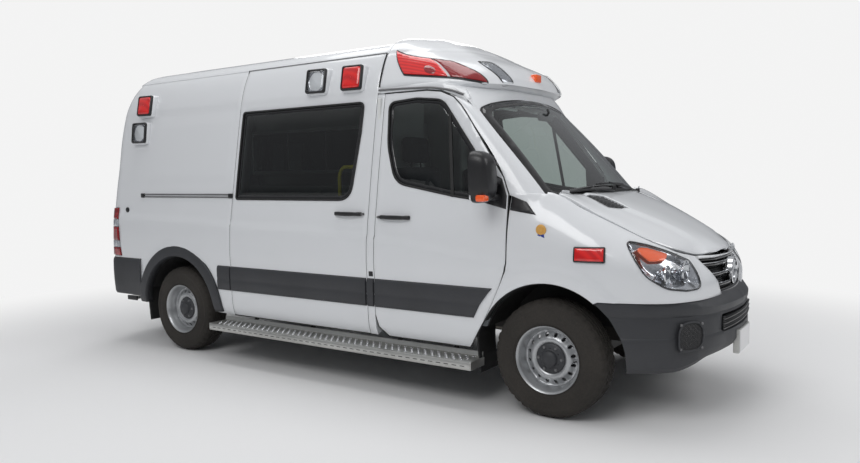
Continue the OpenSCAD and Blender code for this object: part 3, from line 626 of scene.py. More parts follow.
def block(name: str, low: Point3, high: Point3, bevel: float = 0.006, side: int = LEFT,
          turn: Matrix | None = None, segments: int = 3) -> bpy.types.Object:
    """Makes a box with rounded edges.

    Args:
        name: The object's name.
        low: Drawing point of one corner.
        high: Drawing point of the corner across the box.
        bevel: Size of the rounding.
        side: Which side of the vehicle.
        turn: Rotation about the box's centre, or None.
        segments: Steps across each rounding.

    Returns:
        The object.
    """
    bm = bmesh.new()
    bmesh.ops.create_cube(bm, size=1)
    size = Vector(high) - Vector(low)
    centre = (Vector(high) + Vector(low)) / 2
    bmesh.ops.scale(bm, vec=size, verts=bm.verts)
    bmesh.ops.bevel(bm, geom=bm.edges[:], offset=bevel, segments=segments, profile=0.6, affect="EDGES")
    if turn is not None:
        bmesh.ops.transform(bm, matrix=turn.to_4x4(), verts=bm.verts)
    for v in bm.verts:
        v.co = placed(v.co + centre, side)
    if side == RIGHT:
        bmesh.ops.reverse_faces(bm, faces=bm.faces)
    return from_bmesh(name, bm, 35)


def tube(name: str, path: Sequence[Point3], radius: float, side: int = LEFT, sides: int = 12,
         smooth: int = 6) -> bpy.types.Object:
    """Makes a round bar.

    Args:
        name: The object's name.
        path: Drawing points of its middle line.
        radius: Its radius.
        side: Which side of the vehicle.
        sides: Faces round the bar.
        smooth: Steps across each bend, or 0 for sharp bends.

    Returns:
        The object.
    """
    points = [Vector(p) for p in path]
    if smooth and len(points) > 2:
        fine = [points[0]]
        for a, b, c in zip(points, points[1:], points[2:]):
            reach = min((b - a).length, (c - b).length) * 0.45
            start, end = b + (a - b).normalized() * reach, b + (c - b).normalized() * reach
            fine += [start * (1 - t) ** 2 + b * 2 * t * (1 - t) + end * t * t
                     for t in (k / smooth for k in range(smooth + 1))]
        points = fine + [points[-1]]
    rows = []
    up = Vector((0.13, 0.21, 0.97))
    for i, p in enumerate(points):
        along = (points[min(i + 1, len(points) - 1)] - points[max(i - 1, 0)]).normalized()
        u = along.cross(up).normalized()
        v = along.cross(u)
        rows.append([p + (u * math.cos(k * math.tau / sides) + v * math.sin(k * math.tau / sides)) * radius
                     for k in range(sides)])
    return loft(name, rows, side, closed=True, caps=True, sharp=50)


def turned(name: str, profile: Sequence[Point2], centre: Point3, axis: str = "y", side: int = LEFT,
           steps: int = 64, sharp: float = 35.0) -> bpy.types.Object:
    """Returns a turned piece.

    Args:
        name: The object's name.
        profile: Rows of (radius, distance along the axis), outward positive.
        centre: Drawing point of the axis.
        axis: "x", "y" or "z".
        side: Which side of the vehicle.
        steps: Faces round the piece.
        sharp: Angle in degrees past which an edge is sharp.

    Returns:
        The object.
    """
    cx, cy, cz = centre
    rows = []
    for radius, along in profile:
        ring = []
        for k in range(steps):
            c, s = math.cos(k * math.tau / steps) * radius, math.sin(k * math.tau / steps) * radius
            ring.append({"x": (cx + along, cy + c, cz + s), "y": (cx + c, cy + along, cz + s),
                         "z": (cx + c, cy + s, cz + along)}[axis])
        rows.append(ring)
    return loft(name, rows, side, closed=True, sharp=sharp)


def joined(name: str, parts: Sequence[bpy.types.Object]) -> bpy.types.Object:
    """Joins the meshes of several objects that aren't in the scene yet.

    Args:
        name: The new object's name.
        parts: The objects, which are removed.

    Returns:
        The object that holds them all, with their materials.
    """
    bm = bmesh.new()
    slots: list[bpy.types.Material] = []
    depsgraph = bpy.context.evaluated_depsgraph_get()
    for part in parts:
        if part.modifiers:
            bpy.context.scene.collection.objects.link(part)
            depsgraph.update()
            mesh = bpy.data.meshes.new_from_object(part.evaluated_get(depsgraph))
        else:
            mesh = part.data
        first = len(bm.faces)
        bm.from_mesh(mesh)
        bm.faces.ensure_lookup_table()
        for face in bm.faces[first:]:
            own = mesh.materials[face.material_index] if mesh.materials else None
            if own is not None:
                if own not in slots:
                    slots.append(own)
                face.material_index = slots.index(own)
        bpy.data.objects.remove(part)
    mesh = bpy.data.meshes.new(name)
    bm.to_mesh(mesh)
    bm.free()
    for own in slots:
        mesh.materials.append(own)
    mesh.set_sharp_from_angle(angle=math.radians(38))
    return bpy.data.objects.new(name, mesh)


def dressed(obj: bpy.types.Object, finish: Finish) -> bpy.types.Object:
    """Gives a loose piece its finish before it is joined to others.

    Args:
        obj: The piece.
        finish: Its finish.

    Returns:
        The piece.
    """
    obj.data.materials.clear()
    obj.data.materials.append(finish.material())
    return obj


# ---------- body surfaces ----------
SIDE = Curve([(0.28, 0.938), (0.392, 0.962), (0.47, 0.986), (0.60, 0.996), (0.88, 0.998), (1.13, 0.990),
              (1.42, 0.953), (1.78, 0.897), (2.15, 0.835), (2.225, 0.822), (2.38, 0.775), (2.51, 0.715)])
CROWN = Curve([(0.0, 2.662), (0.25, 2.652), (0.48, 2.62), (0.65, 2.575), (0.715, 2.51)])
TAIL = Curve([(0.0, 0.0), (1.4, 0.0), (1.9, 0.022), (2.25, 0.075), (2.43, 0.14), (2.56, 0.25), (2.64, 0.42)])
TAIL_TOP = Curve([(0.0, 1.4), (0.022, 1.9), (0.075, 2.25), (0.14, 2.43), (0.25, 2.56), (0.42, 2.64),
                  (0.8, 2.70)])
CORNER = Curve([(0.3, 0.07), (0.5, 0.1), (1.6, 0.1), (2.0, 0.06), (2.33, 0.028), (2.45, 0.05), (2.6, 0.08)])
BELT = Curve([(-4.7, 1.255), (-4.483, 1.244), (-1.469, 1.142), (-0.544, 1.036), (-0.28, 1.0)])
NOSE_PLAN_X = Curve([(-0.6, -0.6), (-0.045, -0.045), (0.235, 0.235), (0.434, 0.43), (0.618, 0.604),
                     (0.785, 0.74), (0.90, 0.805), (1.05, 0.865), (1.22, 0.902), (1.43, 0.925),
                     (1.63, 0.935)])
NOSE_PLAN_Y = Curve([(-0.6, 0.996), (-0.045, 0.992), (0.235, 0.985), (0.434, 0.955), (0.618, 0.895),
                     (0.785, 0.80), (0.90, 0.705), (1.05, 0.57), (1.22, 0.405), (1.43, 0.20), (1.63, 0.0)])
NOSE_TOP_X = Curve([(-0.6, -0.6), (-0.284, -0.26), (-0.045, -0.045), (0.235, 0.21), (0.434, 0.42),
                    (0.618, 0.565), (0.785, 0.655), (0.90, 0.70), (1.05, 0.745), (1.22, 0.79), (1.43, 0.868),
                    (1.63, 0.892)])
NOSE_TOP_Y = Curve([(-0.6, 0.93), (-0.284, 0.908), (-0.045, 0.850), (0.235, 0.81), (0.434, 0.762),
                    (0.618, 0.715), (0.785, 0.642), (0.90, 0.60), (1.05, 0.50), (1.22, 0.405), (1.43, 0.20),
                    (1.63, 0.0)])
NOSE_TOP_Z = Curve([(-0.6, 1.485), (-0.284, 1.476), (-0.045, 1.467), (0.235, 1.345), (0.434, 1.240),
                    (0.618, 1.165), (0.785, 1.118), (0.90, 1.092), (1.05, 1.066), (1.22, 1.048),
                    (1.43, 1.041), (1.63, 1.040)])
BONNET_MID = Curve([(-0.06, 1.5), (0.1, 1.446), (0.3, 1.375), (0.5, 1.288), (0.7, 1.186), (0.8, 1.126),
                    (0.892, 1.064)])
LINE_X = Curve([(-0.6, 0.93), (-0.25, 0.905), (-0.045, 0.85), (0.289, 0.797), (0.55, 0.725), (0.701, 0.60),
                (0.781, 0.42), (0.87, 0.20), (0.892, 0.0)])
LINE_Z = Curve([(-0.6, 1.475), (-0.045, 1.467), (0.289, 1.312), (0.55, 1.172), (0.701, 1.091),
                (0.781, 1.048), (0.892, 1.04)])
FLARE_IN, FLARE_OUT = 0.500, 0.605


class Skin:
    """The outer surfaces of the body, one method for each."""

    @staticmethod
    def dress(x: float, z: float) -> float:
        """Returns how far the stamped shapes of the side stand out from the plain wall."""
        out = 0.0
        belt = BELT(x)
        if z < belt + 0.02:
            out += 0.009 * ramp(belt - z, -0.012, 0.014) * ramp(z, 0.80, 0.95)
        quarter = ramp(-x, 2.99, 3.03) * ramp(x, TAIL_X + 0.215, TAIL_X + 0.40)
        out += 0.004 * quarter * ramp(z, 1.55, 1.575) * (1 - ramp(z, 2.085, 2.11))
        for seam in (2.186, 2.506):
            out -= 0.005 * math.exp(-((z - seam) / 0.006) ** 2) * ramp(-x, 1.40, 1.46)
        gap = math.hypot(x - REAR_X, z - AXLE_Z)
        out += 0.012 * (1 - ramp(gap, 0.565, 0.62)) * ramp(z, 0.80, 0.86)
        return out

    @classmethod
    def side(cls, x: float, z: float) -> Point3:
        """The side wall, which turns round the rear corner onto the tail."""
        half, corner = SIDE(z), CORNER(z)
        shift = TAIL(z)
        edge = TAIL_X + corner
        if x >= edge:
            moved = x + shift * (1 - ramp(x, TAIL_X + 0.1, TAIL_X + 0.8))
            return moved, half + cls.dress(x, z) * ramp(x, edge, edge + 0.05), z
        run = edge - x
        quarter = corner * math.pi / 2
        if run < quarter:
            a = run / corner
            return edge + shift - corner * math.sin(a), half - corner * (1 - math.cos(a)), z
        return TAIL_X + shift, half - corner - (run - quarter), z

    @classmethod
    def side_end(cls, z: float, half: float) -> float:
        """Returns the side's own coordinate where the surface has come round to a given half width."""
        corner = CORNER(z)
        return TAIL_X + corner - corner * math.pi / 2 - max(SIDE(z) - corner - half, 0.0)

    @staticmethod
    def roof(x: float, y: float) -> Point3:
        """The high roof with its ribs, falling to the tail."""
        rib = 0.004 * math.exp(-(((abs(y) % 0.20) - 0.10) / 0.018) ** 2)
        rib *= ramp(x, TAIL_X + 0.5, TAIL_X + 0.9)
        rib *= 1 - ramp(x, -1.75, -1.60)
        rib *= ramp(0.62 - abs(y), 0, 0.03)
        z = CROWN(abs(y)) + rib
        top = TAIL_TOP(x - TAIL_X)
        soft = 0.012
        blend = -soft * math.log(math.exp(-(z - 2.5) / soft) + math.exp(-(top - 2.5) / soft)) + 2.5
        return x, y, blend

    @staticmethod
    def tail(y: float, z: float) -> Point3:
        """The leaning tail."""
        return TAIL_X + TAIL(z), y, z

    @staticmethod
    def nose(s: float, z: float) -> Point3:
        """The wings and front, unrolled: s runs along the plan from the door to the middle line."""
        low = 0.88
        bottom = Vector((NOSE_PLAN_X(s), NOSE_PLAN_Y(s)))
        top = Vector((NOSE_TOP_X(s), NOSE_TOP_Y(s)))
        rise = min(max((z - low) / (NOSE_TOP_Z(s) - low), 0.0), 1.02)
        here = bottom.lerp(top, rise ** (3.6 - 2.2 * ramp(s, 0.75, 1.1)))
        if s < -0.04:
            here.y = here.y + (SIDE(z) - here.y) * (1 - ramp(s, -0.26, -0.04))
        elif z < low:
            here.y *= SIDE(z) / 0.998
        gap = math.hypot(s, z - AXLE_Z)
        here.y += 0.012 * (1 - ramp(gap, 0.585, 0.625)) * (1 - ramp(s, 0.5, 0.7))
        if s < 0.5 and gap > 0.6:
            here.y += 0.004 * ramp(1.0 - z, -0.012, 0.014) * ramp(0.1 - s, 0, 0.2)
        return here.x, here.y, z

    @staticmethod
    def bonnet(x: float, y: float) -> Point3:
        """The bonnet, crowned, with a crease along each side of its raised middle."""
        edge = max(LINE_X(x), 0.02)
        out = min(abs(y) / edge, 1.0)
        low = LINE_Z(x)
        z = low + (BONNET_MID(x) - low) * (1 - out ** 3.2)
        crease = 0.50 - 0.22 * ramp(x, 0.0, 0.9)
        z -= 0.012 * ramp(abs(y), crease, crease + 0.05) * ramp(1 - out, 0.0, 0.25)
        return x, y, z


# ---------- body ----------
DOOR_REAR, DOOR_FRONT = -1.372, -0.284
SLIDE_FRONT, SLIDE_REAR = -1.446, -2.944
SEAM = 0.004
DOOR_LINE = [(-1.372, 2.188), (-1.372, 0.56), (-1.345, 0.47), (-1.267, 0.404), (-0.575, 0.404),
             (-0.548, 0.44),
             (-0.497, 0.525), (-0.455, 0.594), (-0.38, 0.74), (-0.318, 0.875), (-0.294, 0.942), (-0.284, 1.0),
             (-0.284, 1.45), (-0.33, 1.56), (-0.64, 1.985), (-0.70, 2.06), (-0.77, 2.125), (-0.88, 2.17),
             (-1.0, 2.186)]
CAB_WINDOW = rounded([(-1.325, 2.122, 0.06), (-1.08, 2.138, 0.30), (-0.85, 2.112, 0.15), (-0.47, 1.63, 0.02),
                      (-0.47, 1.405, 0.0), (-0.72, 1.440, 0.3), (-1.215, 1.530, 0.17), (-1.305, 1.80, 0.5)],
                     12)
LOAD_WINDOW = rounded([(-2.90, 1.402, 0.025), (-2.90, 2.142, 0.025), (-1.565, 2.142, 0.05),
                       (-1.572, 1.90, 0.1),
                       (-1.625, 1.402, 0.13)])


def side_arch(centre: float, radius: float, low: float) -> list[Point2]:
    """Returns an arch's points from its front foot over the top to its rear foot."""
    foot = math.degrees(math.asin((low - AXLE_Z) / radius))
    return arc((centre, AXLE_Z), radius, foot, 180 - foot, 40)


@dataclass
class BodyShell:
    """The white shell: side walls, roof, tail frame and pillars."""

    def build(self) -> None:
        """Builds the shell's pieces in their order along the body."""
        for side, word in ((RIGHT, "right"), (LEFT, "left")):
            self.quarter(side, word)
            self.pillar(side)
            self.roof_rail(side, word)
            self.tail_post(side, word)
            self.flare(side, word)
            self.liner(side, word)
        self.roof()
        self.tail_header()
        log.info("body shell")

    def quarter(self, side: int, word: str) -> None:
        """Rear side wall from the sliding door's line (right) or the cab (left) round to the tail."""
        front = SLIDE_REAR - SEAM if side == RIGHT else DOOR_REAR - 0.008 - SEAM
        levels = [0.50, 0.7, 1.0, 1.3, 1.6, 1.8, 1.95, 2.1, 2.2, 2.26, 2.3, 2.33]
        tail = [(Skin.side_end(z, 0.7745), z) for z in levels]
        top = [(Skin.side_end(2.336, 0.60), 2.336), (Skin.side_end(2.4, 0.60), 2.4),
               (Skin.side_end(2.508, 0.60), 2.508)]
        over = [] if side == RIGHT else [(-1.424, 2.508), (-1.424, 2.20), (front, 2.20)]
        head = [(front, 2.508)] if side == RIGHT else over
        feet = side_arch(REAR_X, FLARE_IN, 0.402)
        feet = [p for p in feet if p[0] > REAR_X or p[1] > 0.505]
        outline = tail + top + head + [(front, 0.402)] + feet
        holes = [self.lamp_opening()]
        obj = Sheet(Skin.side, outline, holes, spacing=0.035, side=side,
                    depth=0.03).build(f"side_wall_{word}")
        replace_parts(finish_piece(obj, WHITE), f"body_side_{word}")

    @staticmethod
    def lamp_opening() -> list[Point2]:
        """Opening of the tail lamp, in the side's own coordinates."""
        edge = Skin.side_end(1.0, 0.795)
        return [(TAIL_X + 0.19, 0.842), (TAIL_X + 0.135, 1.31), (edge + 0.02, 1.31), (edge, 1.28),
                (edge, 0.87), (edge + 0.02, 0.842)]

    @staticmethod
    def pillar(side: int) -> None:
        """Post between the front door and the sliding door, only on the right."""
        if side == LEFT:
            return
        outline = [(SLIDE_FRONT + SEAM, 0.40), (SLIDE_FRONT + SEAM, 2.19), (DOOR_REAR - SEAM, 2.19),
                   (DOOR_REAR - SEAM, 0.40)]
        obj = Sheet(Skin.side, outline, [], spacing=0.03, side=side, depth=0.05).build("door_post")
        finish_piece(obj, WHITE)

    def roof_rail(self, side: int, word: str) -> None:
        """Rail above the cab doors, and the bright gutter under the cap."""
        outline = [(-1.444, 2.20), (-1.444, 2.245), (-0.86, 2.245), (-0.70, 2.18), (-0.66, 2.115),
                   (-0.70, 2.074), (-0.768, 2.138), (-0.878, 2.183), (-1.0, 2.198)]
        obj = Sheet(self.rail_surface, outline, [], spacing=0.03, side=side, depth=0.03).build(
            f"cab_rail_{word}")
        finish_piece(obj, WHITE)
        path = [(x, self.rail_surface(x, z)[1] + 0.006, z)
                for x, z in ((-1.43, 2.222), (-1.2, 2.218), (-0.95, 2.206), (-0.80, 2.178), (-0.71, 2.142))]
        finish_piece(tube(f"gutter_{word}", path, 0.008, side), CASTING)

    @staticmethod
    def rail_surface(x: float, z: float) -> Point3:
        """The rail's surface, drawn in towards the screen at its front."""
        return x, SIDE(z) - 0.055 * ramp(x, -0.95, -0.62), z

    def tail_post(self, side: int, word: str) -> None:
        """Inner return of the tail frame beside the rear doors."""
        rows = [[(TAIL_X + TAIL(z) + d, y, z) for d, y in ((0.004, 0.772), (0.03, 0.772), (0.03, 0.745),
                                                           (0.11, 0.745), (0.11, min(0.90, SIDE(z) - 0.04)))]
                for z in np.linspace(0.45, 2.32, 24)]
        obj = loft(f"tail_post_{word}", rows, side, thickness=0.004, sharp=30)
        finish_piece(obj, WHITE)

    def flare(self, side: int, word: str) -> None:
        """Black arch flare of the rear wheel with its thin lip."""
        low = 0.415
        rows = []
        for a in np.linspace(-1, 1, 60):
            angle = math.radians(90 + a * 87)
            ring = []
            for radius, out in ((0.488, -0.05), (0.489, 0.010), (0.496, 0.022), (0.56, 0.024), (0.583, 0.016),
                                (0.590, 0.002)):
                x, z = REAR_X + radius * math.cos(angle), AXLE_Z + radius * math.sin(angle)
                z = max(z, low - 0.01)
                ring.append((x, SIDE(z) + out, z))
            rows.append(ring)
        finish_piece(loft(f"rear_flare_{word}", rows, side, thickness=0.004), STRIP)

    def liner(self, side: int, word: str) -> None:
        """Light inner wall of the load space and the cab's rear corner, seen through the doors."""
        front = -2.99 if side == RIGHT else -1.46
        outline = [(-4.50, 0.64), (-4.50, 2.42), (front, 2.42), (front, 0.64)]
        outline += side_arch(REAR_X, FLARE_IN + 0.03, 0.641)
        inner = Sheet(lambda x, z: (x, SIDE(z) - 0.052, z), outline, [], spacing=0.08, side=side, depth=0.004)
        finish_piece(inner.build(f"inner_wall_{word}"), LAMINATE)

    def roof(self) -> None:
        """Roof panel with ribs, and its lining."""
        rear = TAIL_X + 0.103
        outline = [(-1.42, -0.712), (-1.42, 0.712), (TAIL_X + 0.205, 0.712), (TAIL_X + 0.205, 0.604),
                   (rear, 0.604), (rear, -0.604), (TAIL_X + 0.205, -0.604), (TAIL_X + 0.205, -0.712)]
        obj = Sheet(Skin.roof, outline, [], spacing=0.03, side=LEFT, depth=0.03).build("roof_panel")
        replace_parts(finish_piece(obj, WHITE), "roof")
        inner = [(-1.47, -0.70), (-1.47, 0.70), (-4.42, 0.70), (-4.42, -0.70)]
        lining = Sheet(lambda x, y: (x, y, CROWN(abs(y)) - 0.05), inner, [], spacing=0.09, depth=0.004)
        finish_piece(lining.build("roof_lining"), LAMINATE)

    def tail_header(self) -> None:
        """Panel over the rear doors with a small lamp, and the sill under them."""
        rows = [[(TAIL_X + TAIL(z) + d, y, z) for z, d in ((2.337, 0.09), (2.334, 0.03), (2.334, 0.004))]
                for y in np.linspace(-0.77, 0.77, 30)]
        header = loft("tail_header", rows, LEFT, thickness=0.004, sharp=30)
        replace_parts(finish_piece(header, WHITE), "rear_frame")
        sill = block("tail_sill", (TAIL_X + 0.004, -0.775, 0.50), (TAIL_X + 0.115, 0.775, 0.612), 0.012)
        finish_piece(sill, STRIP)
        lamp = block("high_stop_lamp", (TAIL_X + 0.108, -0.16, 2.352), (TAIL_X + 0.135, 0.16, 2.384), 0.006)
        finish_piece(lamp, DARK_RED)


@dataclass
class SideDoor:
    """One side door: skin, inner panel, window seal, glass and handle."""

    word: str
    side: int
    body: str
    outline: list[Point2]
    window: list[Point2]
    handle: tuple[float, float, float, float]
    node: str

    def build(self) -> None:
        """Builds the door's pieces."""
        skin = Sheet(Skin.side, self.outline, [self.window], spacing=0.033, side=self.side, depth=0.02)
        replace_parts(finish_piece(skin.build(f"{self.word}_skin"), WHITE, self.body), self.node)
        shrunk = inset(resample(self.outline, 0.06), 0.02)
        inner = Sheet(lambda x, z: (x, SIDE(z) - 0.048, z), shrunk, [inset(self.window, 0.004)], spacing=0.06,
                      side=self.side, depth=-0.03)
        finish = TRIM if "front" in self.word else LAMINATE
        finish_piece(inner.build(f"{self.word}_inner"), finish, self.body)
        self.seal()
        self.pane()
        if "front" in self.word:
            self.divider()
        self.grip()
        log.info(self.word)

    def seal(self) -> None:
        """Rubber round the glass."""
        around = resample(self.window, 0.02)
        inner, outer = inset(around, 0.007), inset(around, -0.006)
        rows = []
        for a, b, c in zip(outer, around, inner):
            rows.append([(*a, 0.0015), (*a, 0.004), (*b, 0.006), (*c, 0.003), (*c, -0.012)])
        rows.append(rows[0])
        points = [[(x, SIDE(z) + Skin.dress(x, z) + out, z) for x, z, out in row] for row in rows]
        obj = loft(f"{self.word}_seal", points, self.side, sharp=50)
        finish_piece(obj, RUBBER, self.body)

    def pane(self) -> None:
        """Tinted glass with a black printed border."""
        around = inset(resample(self.window, 0.03), 0.003)
        clear = inset(around, 0.03)
        glass = Sheet(lambda x, z: (x, SIDE(z) - 0.008, z), around, [], spacing=0.1, side=self.side,
                      depth=0.004, edge=0.001)
        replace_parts(finish_piece(glass.build(f"{self.word}_glass"), SIDE_GLASS, self.body),
                    self.node.replace("front_door_", "front_door_glass_").replace("sliding_door",
                                                                                  "sliding_door_glass"))
        frit = Sheet(lambda x, z: (x, SIDE(z) - 0.0065, z), around, [clear], spacing=0.05, side=self.side,
                     depth=0.001, edge=0.001)
        finish_piece(frit.build(f"{self.word}_frit"), GLOSS_BLACK, self.body)

    def divider(self) -> None:
        """Black bar between the winding glass and the small fixed pane ahead of it."""
        rows = []
        for z in np.linspace(1.43, 2.035, 14):
            x = -0.716 - 0.077 * (z - 1.44) / 0.615
            rows.append([(x + a, SIDE(z) + out, z) for a, out in
                         ((-0.013, -0.010), (-0.012, -0.001), (0.0, 0.001), (0.012, -0.001),
                          (0.013, -0.010))])
        finish_piece(loft(f"{self.word}_divider", rows, self.side), RUBBER, self.body)

    def grip(self) -> None:
        """Pull handle on two end mounts, with a key barrel."""
        x0, x1, z, lock = self.handle
        y = SIDE(z) + Skin.dress((x0 + x1) / 2, z)
        rows = []
        for t in np.linspace(0, 1, 17):
            x = x0 + (x1 - x0) * t
            swell = math.sin(math.pi * min(max(t, 0.04), 0.96)) ** 0.5
            out = 0.012 + 0.022 * swell
            half = 0.009 + 0.007 * swell
            rows.append([(x, y + out + 0.009 * math.cos(a) * (0.4 + 0.6 * swell), z + half * math.sin(a))
                         for a in (k * math.tau / 12 for k in range(12))])
        bar = dressed(loft(f"{self.word}_bar", rows, self.side, closed=True, caps=True), TRIM)
        ends = [dressed(block("end", (x - 0.024, y - 0.002, z - 0.015), (x + 0.024, y + 0.024, z + 0.015),
                              0.009, self.side), TRIM) for x in (x0 + 0.02, x1 - 0.02)]
        barrel = dressed(turned("barrel", [(0, 0.026), (0.008, 0.026), (0.010, 0.022), (0.010, 0)],
                                (lock, y, z), side=self.side, steps=20), CASTING)
        finish_piece(joined(f"{self.word}_handle", [bar, barrel, *ends]), TRIM, self.body)


@dataclass
class SideDoors:
    """The cab doors, the sliding door and its rail."""

    def build(self) -> None:
        """Builds the three doors and the rail slot."""
        for side, word in ((RIGHT, "right"), (LEFT, "left")):
            SideDoor(f"front_door_{word}", side, f"front_door_{word}", DOOR_LINE, CAB_WINDOW,
                     (-1.316, -1.060, 1.282, -1.335), f"front_door_{word}").build()
        outline = [(SLIDE_REAR, 0.404), (SLIDE_REAR, 2.508), (SLIDE_FRONT, 2.508), (SLIDE_FRONT, 0.404)]
        SideDoor("sliding_door", RIGHT, "body", outline, LOAD_WINDOW, (-1.755, -1.505, 1.300, -1.488),
                 "sliding_door").build()
        rows = [[(x, SIDE(z) + out, z) for z, out in
                 ((1.446, 0.002), (1.444, 0.009), (1.438, 0.009), (1.436, -0.010), (1.424, -0.010),
                  (1.422, 0.009), (1.416, 0.009), (1.414, 0.002))] for x in np.linspace(-4.203, -2.96, 30)]
        rail = dressed(loft("rail", rows, RIGHT, thickness=0.002, sharp=30), CASTING)
        caps = [dressed(block("cap", (x, SIDE(1.43) - 0.004, 1.410), (x + 0.05, SIDE(1.43) + 0.014, 1.450),
                              0.006, RIGHT), TRIM) for x in (-4.225, -2.99)]
        finish_piece(joined("slide_rail", [rail, *caps]), CASTING)
        self.flap()
        # black strips behind the door joints: painted shade that darkens the gaps
        self.weatherstrip("sliding_door", RIGHT, outline)
        for side, word in ((RIGHT, "right"), (LEFT, "left")):
            self.weatherstrip(f"front_door_{word}", side, DOOR_LINE)

    @staticmethod
    def weatherstrip(name: str, side: int, outline: list[Point2]) -> None:
        """Black strip set behind the joint round a door as painted shade, so the gap reads dark; it stays on
        the body.
        """
        around = resample(outline, 0.03)
        rows = []
        for near, far in zip(inset(around, -0.0005), inset(around, -0.0085)):
            rows.append([(x, SIDE(z) + Skin.dress(x, z) - 0.0045, z) for x, z in (near, far)])
        rows.append(rows[0])
        finish_piece(loft(f"{name}_weatherstrip", rows, side, thickness=0.003), RUBBER)

    def flap(self) -> None:
        """Small round cap on the right quarter, and a small black marker on the door post."""
        y = SIDE(1.29)
        cap = turned("round_cap", [(0, 0.012), (0.016, 0.012), (0.024, 0.008), (0.026, 0.0)],
                     (-4.428, y, 1.29), side=RIGHT, steps=28)
        finish_piece(cap, TRIM)
        marker = block("post_marker", (-1.425, SIDE(0.86) - 0.004, 0.842),
                       (-1.385, SIDE(0.86) + 0.006, 0.880),
                       0.004, RIGHT)
        finish_piece(marker, TRIM)


@dataclass
class SideStrips:
    """The wide dark protection strips, cut at every door line."""

    low: float = 0.618
    high: float = 0.826
    front: float = -0.385

    def build(self) -> None:
        """Builds the strip of each panel on both sides."""
        for side, word in ((RIGHT, "right"), (LEFT, "left")):
            self.strip(f"door_strip_{word}", side, DOOR_REAR + SEAM, self.front, f"front_door_{word}",
                       slanted=True)
            if side == RIGHT:
                self.strip("post_strip", side, SLIDE_FRONT + SEAM, DOOR_REAR - SEAM, "body")
                self.strip("sliding_strip", side, SLIDE_REAR + SEAM, SLIDE_FRONT - SEAM, "body")
                self.strip("quarter_strip_right", side, REAR_X + 0.552, SLIDE_REAR - SEAM, "body")
            else:
                self.strip("quarter_strip_left", side, REAR_X + 0.552, DOOR_REAR - 0.012, "body")
            self.corner(side, word)
        log.info("side strips")

    def strip(self, name: str, side: int, rear: float, front: float, body: str,
              slanted: bool = False) -> None:
        """One strip.

        Args:
            name: Its name.
            side: Its side.
            rear: Station of its rear end.
            front: Station of its front end.
            body: CAD body that carries it.
            slanted: Whether its front end follows the wheel arch.
        """
        rows = []
        levels = [(self.low - 0.002, -0.004), (self.low, 0.008), (self.low + 0.012, 0.015),
                  (0.70, 0.017), (0.712, 0.014), (0.724, 0.017), (self.high - 0.03, 0.017),
                  (self.high - 0.008, 0.012), (self.high, 0.004), (self.high + 0.001, -0.004)]
        for t in np.linspace(0, 1, max(3, int(abs(front - rear) / 0.08))):
            row = []
            for z, out in levels:
                ahead = front
                if slanted:
                    ahead = -math.sqrt(max(FLARE_OUT ** 2 - (z - AXLE_Z) ** 2, 0)) + 0.042
                    ahead = min(ahead - 0.006, self.edge(z) - 0.006)
                x = rear + (ahead - rear) * t
                row.append((x, SIDE(z) + (out if 0 < t < 1 else min(out, 0.002)), z))
            if t in (0, 1):
                shift = 0.004 if t == 0 else -0.004
                lifted = [(x + shift, SIDE(z) + out, z) for (x, _, z), (_, out) in zip(row, levels)]
                rows += [row, lifted] if t == 0 else [lifted, row]
            else:
                rows.append(row)
        finish_piece(loft(name, rows, side, caps=False, sharp=30), STRIP, body)

    @staticmethod
    def edge(z: float) -> float:
        """Returns the door's front edge station at a height."""
        return Curve([(0.594, -0.455), (0.74, -0.38), (0.875, -0.318)])(z)

    def corner(self, side: int, word: str) -> None:
        """Rear bumper corner that wraps from the arch round to the tail, below the strip."""
        rows = []
        start, end = REAR_X - 0.545, Skin.side_end(0.6, 0.790)
        for x in np.linspace(start, end, 44):
            wheel = math.hypot(x - REAR_X, 0)
            low = 0.47 if wheel > 0.52 else 0.5
            row = []
            for z, out in ((low, -0.05), (low, 0.006), (low + 0.02, 0.014), (0.60, 0.016), (0.70, 0.018),
                           (0.79, 0.016), (0.815, 0.010), (0.826, 0.0)):
                a, b = Skin.side(x, z)[:2], Skin.side(x - 0.002, z)[:2]
                along = Vector((b[0] - a[0], b[1] - a[1])).normalized()
                normal = Vector((along.y, -along.x)) * (1 if along.x < 0 or along.y < 0 else -1)
                normal = normal if normal.dot(Vector((a[0] + 3.6, a[1]))) > 0 else -normal
                proud = out * (1 - 0.7 * ramp(TAIL_X + CORNER(z) - x, 0.04, 0.12))
                row.append((a[0] + normal.x * proud, a[1] + normal.y * proud, z))
            rows.append(row)
        finish_piece(loft(f"rear_corner_{word}", rows, side, thickness=0.004, sharp=35), STRIP)


